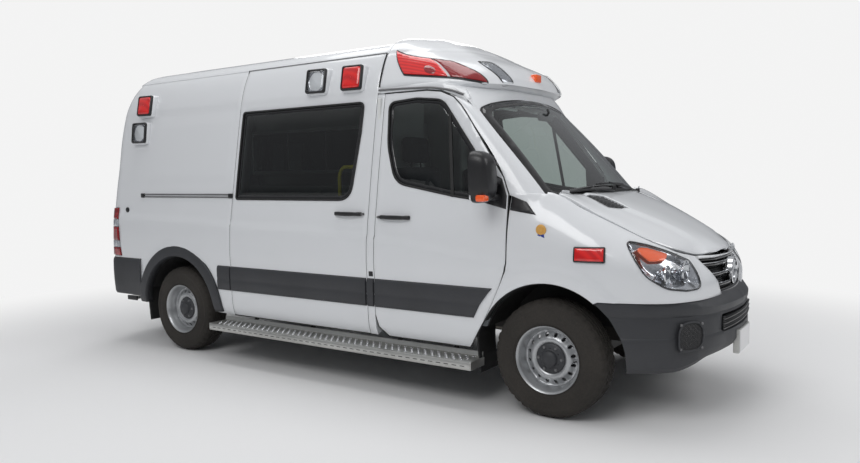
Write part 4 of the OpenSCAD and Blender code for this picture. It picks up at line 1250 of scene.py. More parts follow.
@dataclass
class RearDoors:
    """The two rear doors with their windows, handles and hinges."""

    def build(self) -> None:
        """Builds both leaves."""
        for side, word in ((RIGHT, "right"), (LEFT, "left")):
            body = f"rear_door_{word}"
            outline = [(0.006, 0.628), (0.762, 0.628), (0.762, 2.322), (0.006, 2.322)]
            window = rounded([(0.132, 1.42, 0.05), (0.632, 1.42, 0.05), (0.632, 2.09, 0.05),
                              (0.132, 2.09, 0.05)])
            skin = Sheet(self.surface, outline, [window], spacing=0.035, side=side, depth=0.02, edge=0.004)
            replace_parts(finish_piece(skin.build(f"{body}_skin"), WHITE, body), body)
            inner = Sheet(lambda y, z: (TAIL_X + TAIL(z) + 0.056, y, z),
                          [(0.032, 0.652), (0.735, 0.652), (0.735, 2.298), (0.032, 2.298)],
                          [inset(window, 0.006)], spacing=0.08, side=side, depth=0.035)
            finish_piece(inner.build(f"{body}_lining"), LAMINATE, body)
            self.window(side, body, window)
            self.fittings(side, body)
        log.info("rear doors")

    @staticmethod
    def surface(y: float, z: float) -> Point3:
        """The door's outer face, with a pressed panel below the window."""
        panel = ramp(y, 0.09, 0.11) * ramp(0.68 - y, 0, 0.02) * ramp(z, 0.99, 1.01) * ramp(1.33 - z, 0, 0.02)
        return TAIL_X + TAIL(z) - 0.001 + 0.010 * panel, y, z

    @staticmethod
    def window(side: int, body: str, outline: list[Point2]) -> None:
        """Glass, printed border and rubber of one leaf."""
        around = inset(outline, 0.003)
        glass = Sheet(lambda y, z: (TAIL_X + TAIL(z) + 0.006, y, z), around, [], spacing=0.1, side=side,
                      depth=0.004, edge=0.001)
        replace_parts(finish_piece(glass.build(f"{body}_glass"), SIDE_GLASS, body),
                    body.replace("door", "door_glass"))
        frit = Sheet(lambda y, z: (TAIL_X + TAIL(z) + 0.0045, y, z), around, [inset(around, 0.03)],
                     spacing=0.05, side=side, depth=0.001, edge=0.001)
        finish_piece(frit.build(f"{body}_frit"), GLOSS_BLACK, body)
        rows = []
        for a, b, c in zip(inset(outline, -0.007), outline, inset(outline, 0.008)):
            rows.append([(*a, 0.0), (*a, -0.004), (*b, -0.006), (*c, -0.002), (*c, 0.012)])
        rows.append(rows[0])
        seal = loft(f"{body}_seal", [[(TAIL_X + TAIL(z) + d, y, z) for y, z, d in row] for row in rows], side,
                    sharp=50)
        finish_piece(seal, RUBBER, body)

    @staticmethod
    def fittings(side: int, body: str) -> None:
        """Hinges at the outer edge, and on the right leaf the handle and the blank plate."""
        for z in (0.80, 1.40, 2.16):
            x = TAIL_X + TAIL(z)
            strap = dressed(block("strap", (x - 0.009, 0.66, z - 0.02), (x + 0.004, 0.762, z + 0.02), 0.005,
                                  side), WHITE)
            barrel = dressed(turned("barrel", [(0, -0.032), (0.008, -0.032), (0.009, -0.028), (0.009, 0.028),
                                               (0.008, 0.032), (0, 0.032)], (x - 0.006, 0.764, z), "z", side,
                                    20), CASTING)
            finish_piece(joined(f"{body}_hinge_{round(z * 100)}", [strap, barrel]), WHITE, body)
        if side == RIGHT:
            x = TAIL_X - 0.001
            plinth = dressed(block("plinth", (x - 0.008, 0.03, 1.04), (x + 0.004, 0.16, 1.19), 0.006, side),
                             TRIM)
            pull = dressed(block("pull", (x - 0.030, 0.045, 1.06), (x - 0.004, 0.145, 1.10), 0.010, side),
                           TRIM)
            finish_piece(joined("rear_handle", [plinth, pull]), TRIM, body)
            plate = block("rear_plate", (x - 0.006, 0.22, 0.84), (x + 0.002, 0.525, 0.99), 0.003, side)
            finish_piece(plate, PLATE, body)


# ---------- nose ----------
class NoseShape:
    """Outlines of the nose, in its unrolled coordinates."""

    LAMP = rounded([(0.475, 1.170, 0.02), (0.62, 1.142, 0.10), (0.86, 1.082, 0.12), (1.015, 1.036, 0.03),
                    (1.030, 0.95, 0.15), (1.025, 0.862, 0.045), (0.90, 0.858, 0.12), (0.745, 0.878, 0.2),
                    (0.62, 0.955, 0.2)], 8)
    GRILLE = [(1.325, 0.800), (1.275, 0.86), (1.215, 0.96), (1.172, 1.034)]

    @staticmethod
    def arch() -> list[Point2]:
        """Front wheel arch, from its front foot over the top to the door."""
        points = arc((0.01, AXLE_Z), FLARE_IN, 52, 152, 34)
        return points

    @classmethod
    def wing(cls) -> list[Point2]:
        """Outline of a wing with its share of the front."""
        top = [(s, NOSE_TOP_Z(s) - 0.003) for s in np.linspace(1.165, -0.045, 40)]
        edge = [(-0.045, 1.452), (-0.276, 1.462), (-0.276, 1.0), (-0.286, 0.942), (-0.31, 0.875),
                (-0.372, 0.74),
                (-0.438, 0.610)]
        return top + edge + cls.arch()[::-1] + [(0.345, 0.792), (1.315, 0.792)] + cls.GRILLE


@dataclass
class Nose:
    """Wings, bonnet, lamps, grille and bumper."""

    def build(self) -> None:
        """Builds the nose from the skin outward."""
        for side, word in ((RIGHT, "right"), (LEFT, "left")):
            self.wing(side, word)
            self.headlight(side, word)
            self.marker(side, word)
        self.bonnet()
        self.grille()
        self.bumper()
        log.info("nose")

    @staticmethod
    def wing(side: int, word: str) -> None:
        """One wing, with its lamp opening."""
        holes = [inset(NoseShape.LAMP, -0.002)]
        obj = Sheet(Skin.nose, NoseShape.wing(), holes, spacing=0.026, side=side, depth=0.022)
        made = finish_piece(obj.build(f"wing_{word}"), WHITE)
        if side == RIGHT:
            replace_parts(made, "wings")
        rows = []
        for a in np.linspace(50, 154, 40):
            angle = math.radians(a)
            row = []
            for radius, drop in ((0.4995, 0.004), (0.494, 0.03), (0.497, 0.06)):
                s, z = 0.01 + radius * math.cos(angle), AXLE_Z + radius * math.sin(angle)
                x, y, _ = Skin.nose(s, z)
                row.append((x, y - drop, z))
            rows.append(row)
        finish_piece(loft(f"arch_lip_{word}", rows, side, thickness=0.003), RUBBER)

    def headlight(self, side: int, word: str) -> None:
        """A headlight: reflector tub, black rim, chrome bowls, orange flasher and clear lens."""
        outline = NoseShape.LAMP

        def tub(s: float, z: float) -> Point3:
            """Returns a point of the tub, deepest away from the lamp's edge."""
            deep = min(distance_to(np.array([[s, z]]), outline)[0] / 0.05, 1.0)
            x, y, height = Skin.nose(s, z)
            return x - 0.050 * deep, y - 0.030 * deep, height

        shell = Sheet(tub, inset(outline, 0.001), [], spacing=0.014, side=side, depth=0.01, edge=0.001)
        made = finish_piece(shell.build(f"headlight_tub_{word}"), REFLECTOR)
        if side == RIGHT:
            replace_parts(made, "headlights")
        ring = Sheet(lambda s, z: self.lens(s, z, outline), outline, [inset(outline, 0.007)], spacing=0.02,
                     side=side, depth=0.012, edge=0.002, lift=0.001)
        finish_piece(ring.build(f"headlight_rim_{word}"), GLOSS_BLACK)
        glass = Sheet(lambda s, z: self.lens(s, z, outline), inset(outline, 0.003), [], spacing=0.02,
                      side=side,
                      depth=0.006, edge=0.001)
        finish_piece(glass.build(f"headlight_lens_{word}"), CLEAR)
        flasher = rounded([(0.545, 1.128, 0.02), (0.68, 1.118, 0.03), (0.80, 1.085, 0.03),
                           (0.76, 1.050, 0.03),
                           (0.66, 1.045, 0.04)])
        lamp = Sheet(lambda s, z: self.sunk(s, z, 0.016), flasher, [], spacing=0.015, side=side, depth=0.012)
        finish_piece(lamp.build(f"headlight_flasher_{word}"), ORANGE)
        bowls = []
        for s, z, radius in ((0.93, 0.972, 0.064), (0.775, 0.965, 0.052), (0.895, 1.058, 0.020)):
            x, y, _ = Skin.nose(s, z)
            profile = [(0.0, -0.045), (radius * 0.25, -0.043), (radius * 0.6, -0.034),
                       (radius * 0.88, -0.018),
                       (radius, 0.0), (radius * 1.07, 0.002), (radius * 1.10, -0.006)]
            bowl = dressed(turned("bowl", profile, (x - 0.020, y - 0.012, z), "x", side, 40), CHROME)
            bulb = dressed(turned("bulb", [(0, -0.012), (radius * 0.2, -0.014), (radius * 0.26, -0.03),
                                           (radius * 0.26, -0.045)], (x - 0.020, y - 0.012, z), "x", side,
                                  24),
                           LAMP_CLEAR)
            bowls += [bowl, bulb]
        finish_piece(joined(f"headlight_bowls_{word}", bowls), CHROME)

    @staticmethod
    def sunk(s: float, z: float, depth: float) -> Point3:
        """A point set in behind the nose surface."""
        x, y, height = Skin.nose(s, z)
        return x - depth, y - depth * 0.8, height

    @staticmethod
    def lens(s: float, z: float, outline: list[Point2]) -> Point3:
        """The lens surface, a little crowned over the nose."""
        edge = min(distance_to(np.array([[s, z]]), outline)[0] / 0.07, 1.0)
        swell = 0.009 * math.sqrt(edge * (2 - edge))
        x, y, height = Skin.nose(s, z)
        return x + swell * ramp(s, 0.45, 0.9), y + swell * (1 - ramp(s, 0.6, 1.1)), height

    @staticmethod
    def marker(side: int, word: str) -> None:
        """Red side marker in its dark frame on the wing."""
        outer = rounded([(0.187, 1.032, 0.012), (0.385, 1.032, 0.012), (0.378, 1.126, 0.012),
                         (0.187, 1.126, 0.012)])
        frame_ring = Sheet(Skin.nose, outer, [inset(outer, 0.011)], spacing=0.03, side=side, lift=0.012,
                           depth=0.013)
        lens = Sheet(Skin.nose, inset(outer, 0.010), [], spacing=0.02, side=side, lift=0.016, depth=0.014,
                     edge=0.004)
        finish_piece(frame_ring.build(f"wing_marker_frame_{word}"), TRIM)
        finish_piece(lens.build(f"wing_marker_{word}"), RED)

    @staticmethod
    def bonnet() -> None:
        """Bonnet with its vents, front lip and inner side."""
        half = [(bonnet_edge(t)[0], bonnet_edge(t)[1] - 0.004) for t in np.linspace(0.055, 1, 36)]
        rear = [(0.10, 0.0), (0.098, 0.25), (0.085, 0.42), (0.055, 0.60), (0.026, 0.72), (0.016, 0.80)]
        right = rear + half
        outline = right + [(x, -y) for x, y in right[::-1] if y > 1e-6]
        vents = []
        for sign in (1, -1):
            vent = rounded([(0.085, 0.545, 0.015), (0.150, 0.372, 0.02), (0.345, 0.415, 0.015),
                            (0.262, 0.575, 0.02)])
            vents.append([(x, y * sign) for x, y in vent])
        obj = Sheet(Skin.bonnet, outline, vents, spacing=0.026, side=LEFT, depth=0.018, edge=0.004)
        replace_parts(finish_piece(obj.build("bonnet_panel"), WHITE, "bonnet"), "bonnet")
        for number, vent in enumerate(vents):
            tray = Sheet(lambda x, y: (x, y, Skin.bonnet(x, y)[2] - 0.012 + 0.004 * math.sin(x * 260)),
                         inset(vent, -0.002), [], spacing=0.006, side=LEFT, depth=0.004, edge=0.001)
            finish_piece(tray.build(f"bonnet_vent_{number}"), TRIM, "bonnet")
        under = [(x * 0.90 + 0.062, y * 0.93) for x, y in outline]
        lining = Sheet(lambda x, y: (x, y, Skin.bonnet(x, y)[2] - 0.022), under, [], spacing=0.06, side=LEFT,
                       depth=0.004)
        finish_piece(lining.build("bonnet_lining"), CHASSIS, "bonnet")

    @staticmethod
    def front(y: float, z: float, set_in: float = 0.0) -> Point3:
        """The grille's face: half width and height give the station."""
        base = Curve([(0.80, 0.932), (0.90, 0.908), (1.0, 0.890), (1.05, 0.878)])(z)
        return base - 0.07 * (y / 0.45) ** 2 - 0.06 * ramp(abs(y), 0.25, 0.5) - set_in, y, z

    def grille(self) -> None:
        """Black grille with three winged bars, mesh behind and a plain round boss."""
        half = [(0.0, 0.80), (0.30, 0.80), (0.345, 0.86), (0.40, 0.96), (0.435, 1.034), (0.0, 1.034)]
        outline = [p for p in half[1:5]] + [(-y, z) for y, z in half[4:0:-1]]
        outline = [(y, z) for y, z in outline]
        bars = [inset(outline, 0.022)]
        surround = Sheet(lambda y, z: self.front(y, z, -0.002), outline, bars, spacing=0.03, side=LEFT,
                         depth=0.05, edge=0.004)
        made = finish_piece(surround.build("grille_surround"), GLOSS_BLACK)
        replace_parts(made, "grille")
        rows = []
        for z in np.linspace(0.812, 1.03, 34):
            wide = Curve([(0.80, 0.29), (0.86, 0.335), (0.96, 0.39), (1.034, 0.425)])(z)
            rows.append([(self.front(wide * t, z, 0.038 + 0.004 * math.sin(z * 480))) for t in
                         np.linspace(-1, 1, 41)])
        finish_piece(loft("grille_mesh", rows, LEFT, thickness=0.003), TRIM)
        slats = []
        for z in (0.848, 0.915, 0.982):
            wide = Curve([(0.80, 0.285), (0.86, 0.33), (0.96, 0.385), (1.034, 0.42)])(z)
            lines = []
            for t in np.linspace(-1, 1, 45):
                y = wide * t
                ring = []
                for a in range(12):
                    c, s = math.cos(a * math.tau / 12), math.sin(a * math.tau / 12)
                    x0, _, _ = self.front(y, z, 0.010)
                    ring.append((x0 + 0.016 * c, y, z + 0.014 * s + 0.004 * c))
                lines.append(ring)
            slats.append(dressed(loft("slat", lines, LEFT, closed=True, caps=True), GLOSS_BLACK))
            trim = [(self.front(wide * t, z + 0.013, -0.004)) for t in np.linspace(-0.98, 0.98, 30)]
            slats.append(dressed(tube("line", trim, 0.0028, LEFT, 8, 0), CHROME))
        finish_piece(joined("grille_bars", slats), GLOSS_BLACK)
        ring = [(0.0, -0.004), (0.060, -0.004), (0.078, 0.0), (0.080, 0.010), (0.086, 0.014), (0.092, 0.010),
                (0.093, 0.0), (0.092, -0.045)]
        boss = turned("grille_boss", ring, (self.front(0, 0.918)[0] + 0.016, 0, 0.918), "x", LEFT, 72)
        finish_piece(boss, CHROME)
        self.header()

    @staticmethod
    def header() -> None:
        """White lip between the grille and the bonnet."""
        rows = []
        for y in np.linspace(-0.445, 0.445, 41):
            s = 1.63 - abs(y) * 1.03
            x, _, z = NOSE_TOP_X(s), 0, NOSE_TOP_Z(s)
            face = Nose.front(y, 1.034)[0]
            rows.append([(face - 0.02, y, 1.028), (face + 0.002, y, 1.028), (face + 0.004, y, 1.034),
                         (x + 0.001, y, z - 0.004), (x - 0.03, y, z - 0.010)])
        finish_piece(loft("bonnet_slam_panel", rows, LEFT, thickness=0.004, sharp=30), WHITE)

    def bumper(self) -> None:
        """Dark bumper: ledge, waist, mouth, mesh panels and the blank plate on its bracket."""
        for side, word in ((RIGHT, "right"), (LEFT, "left")):
            rows = [self.bumper_row(t) for t in np.linspace(0, 1, 90)]
            obj = loft(f"front_bumper_{word}", rows, side, thickness=0.0, sharp=28)
            made = finish_piece(obj, STRIP)
            if side == RIGHT:
                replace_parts(made, "front_bumper")
            self.mesh_panel(side, word)
        mouth = []
        for z in np.linspace(0.578, 0.668, 16):
            mouth.append([(BUMPER_X(1) - 0.012 - 0.05 * (y / 0.5) ** 2 + 0.006 * math.sin(z * 420), y, z)
                          for y in np.linspace(-0.40, 0.40, 31)])
        finish_piece(loft("bumper_mouth", mouth, LEFT, thickness=0.003), TRIM)
        x = BUMPER_X(1)
        bracket = block("plate_bracket", (x - 0.03, -0.165, 0.386), (x + 0.007, 0.165, 0.545), 0.006)
        finish_piece(bracket, ALLOY)
        plate = block("front_plate", (x + 0.006, -0.1525, 0.392), (x + 0.0125, 0.1525, 0.540), 0.0025)
        finish_piece(plate, PLATE)

    @staticmethod
    def bumper_row(t: float) -> list[Point3]:
        """Returns the bumper's section at a place along its plan, from the ledge down."""
        low = Curve([(0.0, 0.352), (0.3, 0.356), (0.6, 0.43), (1.0, 0.446)])(t)
        front = ramp(t, 0.45, 0.7)
        mouth = ramp(t, 0.72, 0.76)
        top = 0.796 + 0.012 * front
        section = [(-0.075, top + 0.006), (-0.070, top + 0.004), (-0.045 - 0.02 * front, top),
                   (-0.006 - 0.018 * front, top - 0.008 - 0.020 * front), (0.0, top - 0.030 - 0.035 * front),
                   (-0.002, 0.715), (-0.010, 0.700), (-0.006, 0.682),
                   (-0.004 - 0.05 * mouth, 0.672 - 0.004 * mouth),
                   (-0.006 - 0.055 * mouth, 0.575 + 0.003 * mouth), (-0.002, 0.568), (0.0, 0.55), (0.0, 0.49),
                   (-0.012, low + 0.03), (-0.035, low), (-0.08, low - 0.004)]
        return [Nose.bumper_point(t, out, z) for out, z in section]

    @staticmethod
    def bumper_point(t: float, out: float, z: float) -> Point3:
        """Returns a bumper point; the rear end follows the wheel arch."""
        arch = 0.01 + math.sqrt(max(FLARE_IN ** 2 - (z - AXLE_Z) ** 2, 0.0))
        start = BUMPER_T(arch)
        t = start + (1 - start) * t
        x, y = BUMPER_X(t), BUMPER_Y(t)
        ahead = Vector((BUMPER_X(min(t + 0.01, 1)) - BUMPER_X(t - 0.01),
                        BUMPER_Y(min(t + 0.01, 1)) - BUMPER_Y(t - 0.01)))
        normal = Vector((-ahead.y, ahead.x)).normalized()
        normal = normal if normal.dot(Vector((x * 0.6, y))) > 0 else -normal
        if t > 0.985:
            normal = Vector((1, 0))
        return x + normal.x * out, y + normal.y * out, z

    @staticmethod
    def mesh_panel(side: int, word: str) -> None:
        """Square black mesh plate with four bolts, at the corner of the bumper."""
        parts = []
        t = 0.53
        x, y = BUMPER_X(t), BUMPER_Y(t)
        ahead = Vector((BUMPER_X(t + 0.02) - x, BUMPER_Y(t + 0.02) - y)).normalized()
        normal = Vector((-ahead.y, ahead.x))
        normal = normal if normal.x > 0 else -normal

        def at(along: float, z: float, out: float) -> Point3:
            """Returns a point by its place along the corner, its height and how far it stands out."""
            return x + ahead.x * along + normal.x * out, y + ahead.y * along + normal.y * out, z

        rows = [[at(a, z, 0.010 + 0.003 * math.sin(a * 520) * math.sin(z * 520)) for a in
                 np.linspace(-0.085, 0.085, 52)] for z in np.linspace(0.50, 0.665, 50)]
        parts.append(dressed(loft("mesh", rows, side, thickness=0.0), TRIM))
        border = [at(a, z, 0.012) for a, z in ((-0.09, 0.495), (0.09, 0.495), (0.09, 0.67), (-0.09, 0.67),
                                               (-0.09, 0.495), (0.0, 0.495))]
        parts.append(dressed(tube("border", border, 0.006, side, 8, 4), STRIP))
        for a in (-0.078, 0.078):
            for z in (0.508, 0.657):
                cx, cy, cz = at(a, z, 0.010)
                parts.append(dressed(turned("bolt", [(0, 0.010), (0.006, 0.010), (0.009, 0.006), (0.009, 0)],
                                            (cx, cy, cz), "x", side, 16), CASTING))
        finish_piece(joined(f"bumper_mesh_{word}", parts), TRIM)


BUMPER_X = Curve([(0.0, 0.245), (0.15, 0.43), (0.32, 0.625), (0.48, 0.775), (0.60, 0.875), (0.76, 0.945),
                  (0.90, 0.982), (1.0, 0.992)])
BUMPER_T = Curve([(0.245, 0.0), (0.43, 0.15), (0.625, 0.32), (0.775, 0.48), (0.875, 0.60), (0.945, 0.76),
                  (0.982, 0.90), (0.992, 1.0)])
BUMPER_Y = Curve([(0.0, 0.992), (0.15, 0.955), (0.32, 0.870), (0.48, 0.745), (0.60, 0.604), (0.76, 0.40),
                  (0.90, 0.17), (1.0, 0.0)])


def bonnet_edge(t: float) -> Point2:
    """Returns (station, half width) along the bonnet's edge: 0 at the screen, 1 at the front middle."""
    return (Curve([(0.0, -0.045), (0.25, 0.28), (0.45, 0.545), (0.58, 0.690), (0.70, 0.775), (0.85, 0.862),
                   (1.0, 0.886)])(t),
            Curve([(0.0, 0.850), (0.25, 0.797), (0.45, 0.725), (0.58, 0.60), (0.70, 0.42), (0.85, 0.20),
                   (1.0, 0.0)])(t))


# ---------- cab ----------
class Screen:
    """The windscreen's curved surface: half width, and 0 at its foot to 1 at its top."""

    FOOT = (0.098, 1.462)
    TOP = (-0.56, 2.15)

    @classmethod
    def at(cls, y: float, t: float, out: float = 0.0) -> Point3:
        """Returns a point of the glass; out moves it off the glass."""
        dx, dz = cls.TOP[0] - cls.FOOT[0], cls.TOP[1] - cls.FOOT[1]
        size = math.hypot(dx, dz)
        nx, nz = dz / size, -dx / size
        bow = y * y / (2 * 3.0) + 0.05 * max(abs(y) - 0.5, 0) ** 2 * 4
        crown = 0.014 * math.sin(math.pi * t)
        drop = out + crown - bow
        return cls.FOOT[0] + dx * t + nx * drop, y, cls.FOOT[1] + dz * t + nz * drop

    @classmethod
    def outline(cls, grow: float = 0.0) -> list[Point2]:
        """Returns the glass outline in (half width, share of its height)."""
        corners = [(-0.835 - grow, 0.03 - grow, 0.05), (-0.765 - grow, 0.955 + grow, 0.09),
                   (0.0, 0.995 + grow, 0.0), (0.765 + grow, 0.955 + grow, 0.09),
                   (0.835 + grow, 0.03 - grow, 0.05), (0.0, -0.005 - grow, 0.0)]
        return rounded(corners)


@dataclass
class CabFront:
    """Windscreen, its pillars, the cowl and the wipers."""

    def build(self) -> None:
        """Builds the pieces round the windscreen."""
        self.screen()
        for side, word in ((RIGHT, "right"), (LEFT, "left")):
            self.pillar(side, word)
            self.sail(side, word)
        self.header()
        self.rosette()
        self.cowl()
        self.wipers()
        log.info("cab front")

    @staticmethod
    def screen() -> None:
        """Glass, printed border and rubber."""
        shape = Screen.outline()
        glass = Sheet(Screen.at, shape, [], spacing=0.06, side=LEFT, depth=0.006, edge=0.001)
        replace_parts(finish_piece(glass.build("screen_glass"), SCREEN_GLASS), "windscreen")
        inner = rounded([(-0.78, 0.085, 0.08), (-0.715, 0.90, 0.1), (0.0, 0.945, 0.0), (0.715, 0.90, 0.1),
                         (0.78, 0.085, 0.08), (0.0, 0.045, 0.0)])
        band = Sheet(lambda y, t: Screen.at(y, t, 0.0015), shape, [inner], spacing=0.04, side=LEFT,
                     depth=0.001,
                     edge=0.001)
        finish_piece(band.build("screen_border"), GLOSS_BLACK)
        ring = Sheet(lambda y, t: Screen.at(y, t, 0.003), Screen.outline(0.012), [inset(shape, 0.004)],
                     spacing=0.04, side=LEFT, depth=0.012, edge=0.003)
        finish_piece(ring.build("screen_rubber"), RUBBER)
        mirror = dressed(block("glass", (-0.475, -0.12, 1.985), (-0.445, 0.12, 2.045), 0.02), TRIM)
        stalk = dressed(tube("stalk", [(-0.455, 0, 2.02), (-0.43, 0, 2.05), (-0.445, 0, 2.075)], 0.009), TRIM)
        finish_piece(joined("inner_mirror", [mirror, stalk]), TRIM)

    @staticmethod
    def pillar(side: int, word: str) -> None:
        """White pillar between the door's front edge and the glass."""
        rows = []
        edge = Curve([(1.44, -0.276), (1.56, -0.322), (1.985, -0.632), (2.06, -0.692), (2.125, -0.762),
                      (2.17, -0.84)])
        glass_y = Curve([(0.0, 0.845), (0.955, 0.775), (1.0, 0.74)])
        for k in np.linspace(0, 1, 36):
            z_door = 1.445 + (2.150 - 1.445) * k
            t = min(-0.01 + 0.985 * k, 0.975)
            rear = Vector((edge(z_door), SIDE(z_door) - 0.004, z_door))
            front = Vector(Screen.at(glass_y(t), t, 0.004))
            mid = rear.lerp(front, 0.55) + Vector((0.012, 0.030, 0.004))
            row = [rear + Vector((0, -0.02, 0)), rear]
            row += [rear * (1 - u) ** 2 + mid * 2 * u * (1 - u) + front * u * u for u in
                    np.linspace(0.1, 1, 9)]
            row.append(front + Vector((-0.012, -0.006, -0.014)))
            rows.append(row)
        made = finish_piece(loft(f"screen_pillar_{word}", rows, side, thickness=0.002, sharp=40), WHITE)
        if side == RIGHT:
            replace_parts(made, "cab_frame")

    @staticmethod
    def header() -> None:
        """White panel between the top of the glass and the cap."""
        top = Curve([(0.0, 1.0), (0.6, 0.985), (0.74, 0.965), (0.80, 0.93)])
        rows = []
        for y in np.linspace(-0.80, 0.80, 61):
            wide = abs(y)
            p = Vector(Screen.at(y, top(wide), 0.004))
            brow = Vector((CAP.at(1.02 * wide + 0.01, 2.21)[0] - 0.03, y, 2.212))
            brow.x = min(brow.x, p.x - 0.03)
            mid = p.lerp(brow, 0.5) + Vector((0.020, 0, 0.012))
            row = [p + Vector((0.010, 0, -0.016)), p]
            row += [p * (1 - u) ** 2 + mid * 2 * u * (1 - u) + brow * u * u for u in np.linspace(0.15, 1, 7)]
            rows.append(row + [brow + Vector((-0.10, 0, -0.01))])
        finish_piece(loft("screen_header", rows, LEFT, thickness=0.003), WHITE)

    @staticmethod
    def rosette() -> None:
        """Plain award rosette on the right wing: a pleated disc with two ribbon ends."""
        x, y, z = Skin.nose(-0.037, 1.206)
        rim = [(0.0, 0.007), (0.015, 0.007), (0.018, 0.004), (0.026, 0.006), (0.033, 0.003), (0.036, 0.0)]
        disc = dressed(turned("disc", rim, (x, y, z + 0.018), side=RIGHT, steps=28, sharp=20), GOLD)
        tails = []
        for lean in (-1, 1):
            rows = [[(x + lean * (0.004 + 0.016 * t) + a, Skin.nose(x, z)[1] + 0.003 + 0.001 * t,
                      z + 0.01 - 0.055 * t - (0.006 if a == 0 and t == 1 else 0)) for a in
                     (-0.011, 0.0, 0.011)] for t in (0.0, 0.5, 1.0)]
            tails.append(dressed(loft("tail", rows, RIGHT, thickness=0.001), BLUE))
        finish_piece(joined("rosette", [disc, *tails]), GOLD)

    @staticmethod
    def sail(side: int, word: str) -> None:
        """Black triangle at the foot of the door glass, where the mirror stands, and its tip on the wing."""
        outline = [(-0.480, 1.622), (-0.480, 1.398), (-0.292, 1.352), (-0.292, 1.44), (-0.335, 1.552)]
        plate = Sheet(lambda x, z: (x, SIDE(z) + Skin.dress(x, z), z), outline, [], spacing=0.03, side=side,
                      lift=0.004, depth=0.006)
        finish_piece(plate.build(f"sail_plate_{word}"), TRIM, f"front_door_{word}")
        tip = [(-0.272, 1.440), (-0.272, 1.347), (-0.085, 1.318), (-0.16, 1.40)]
        tip_piece = Sheet(Skin.nose, tip, [], spacing=0.03, side=side, lift=0.004, depth=0.006)
        finish_piece(tip_piece.build(f"sail_tip_{word}"), TRIM)

    @staticmethod
    def cowl() -> None:
        """Black louvred tray between the bonnet and the glass."""
        rows = []
        for y in np.linspace(-0.80, 0.80, 61):
            wide = abs(y)
            x_rear, _, z_rear = Screen.at(y, 0.0, 0.002)
            x_front = Curve([(0.0, 0.096), (0.3, 0.094), (0.45, 0.072), (0.60, 0.046), (0.72, 0.002),
                             (0.86, -0.045)])(wide)
            z_front = Skin.bonnet(x_front, min(wide, 0.84))[2] - 0.012
            x_front = max(x_front, x_rear + 0.012)
            rows.append([(x_rear - 0.02, y, z_rear + 0.012), (x_rear, y, z_rear + 0.004),
                         ((x_rear + x_front) / 2, y,
                          (z_rear + z_front) / 2 - 0.006 + 0.002 * math.sin(y * 150)),
                         (x_front, y, z_front), (x_front + 0.02, y, z_front - 0.03)])
        finish_piece(loft("cowl", rows, LEFT, thickness=0.003), TRIM)

    @staticmethod
    def wipers() -> None:
        """Two wipers parked along the foot of the glass."""
        parts = []
        for pivot, tip in ((0.52, -0.06), (-0.10, -0.66)):
            start = Vector(Screen.at(pivot, -0.02, 0.02))
            end = Vector(Screen.at(tip, 0.055, 0.016))
            parts.append(tube("arm", [start, start.lerp(end, 0.45) + Vector((0.012, 0, 0.012)), end], 0.008))
            low, high = tip + 0.30, tip - 0.22
            blade = [Screen.at(low + (high - low) * k, 0.045 + 0.015 * k, 0.012)
                     for k in np.linspace(0, 1, 12)]
            parts.append(tube("blade", blade, 0.006, sides=8, smooth=0))
            parts.append(turned("cap", [(0, 0.03), (0.014, 0.028), (0.018, 0.0)], tuple(start), "z",
                                steps=20))
        finish_piece(joined("wipers", [dressed(p, TRIM) for p in parts]), TRIM)


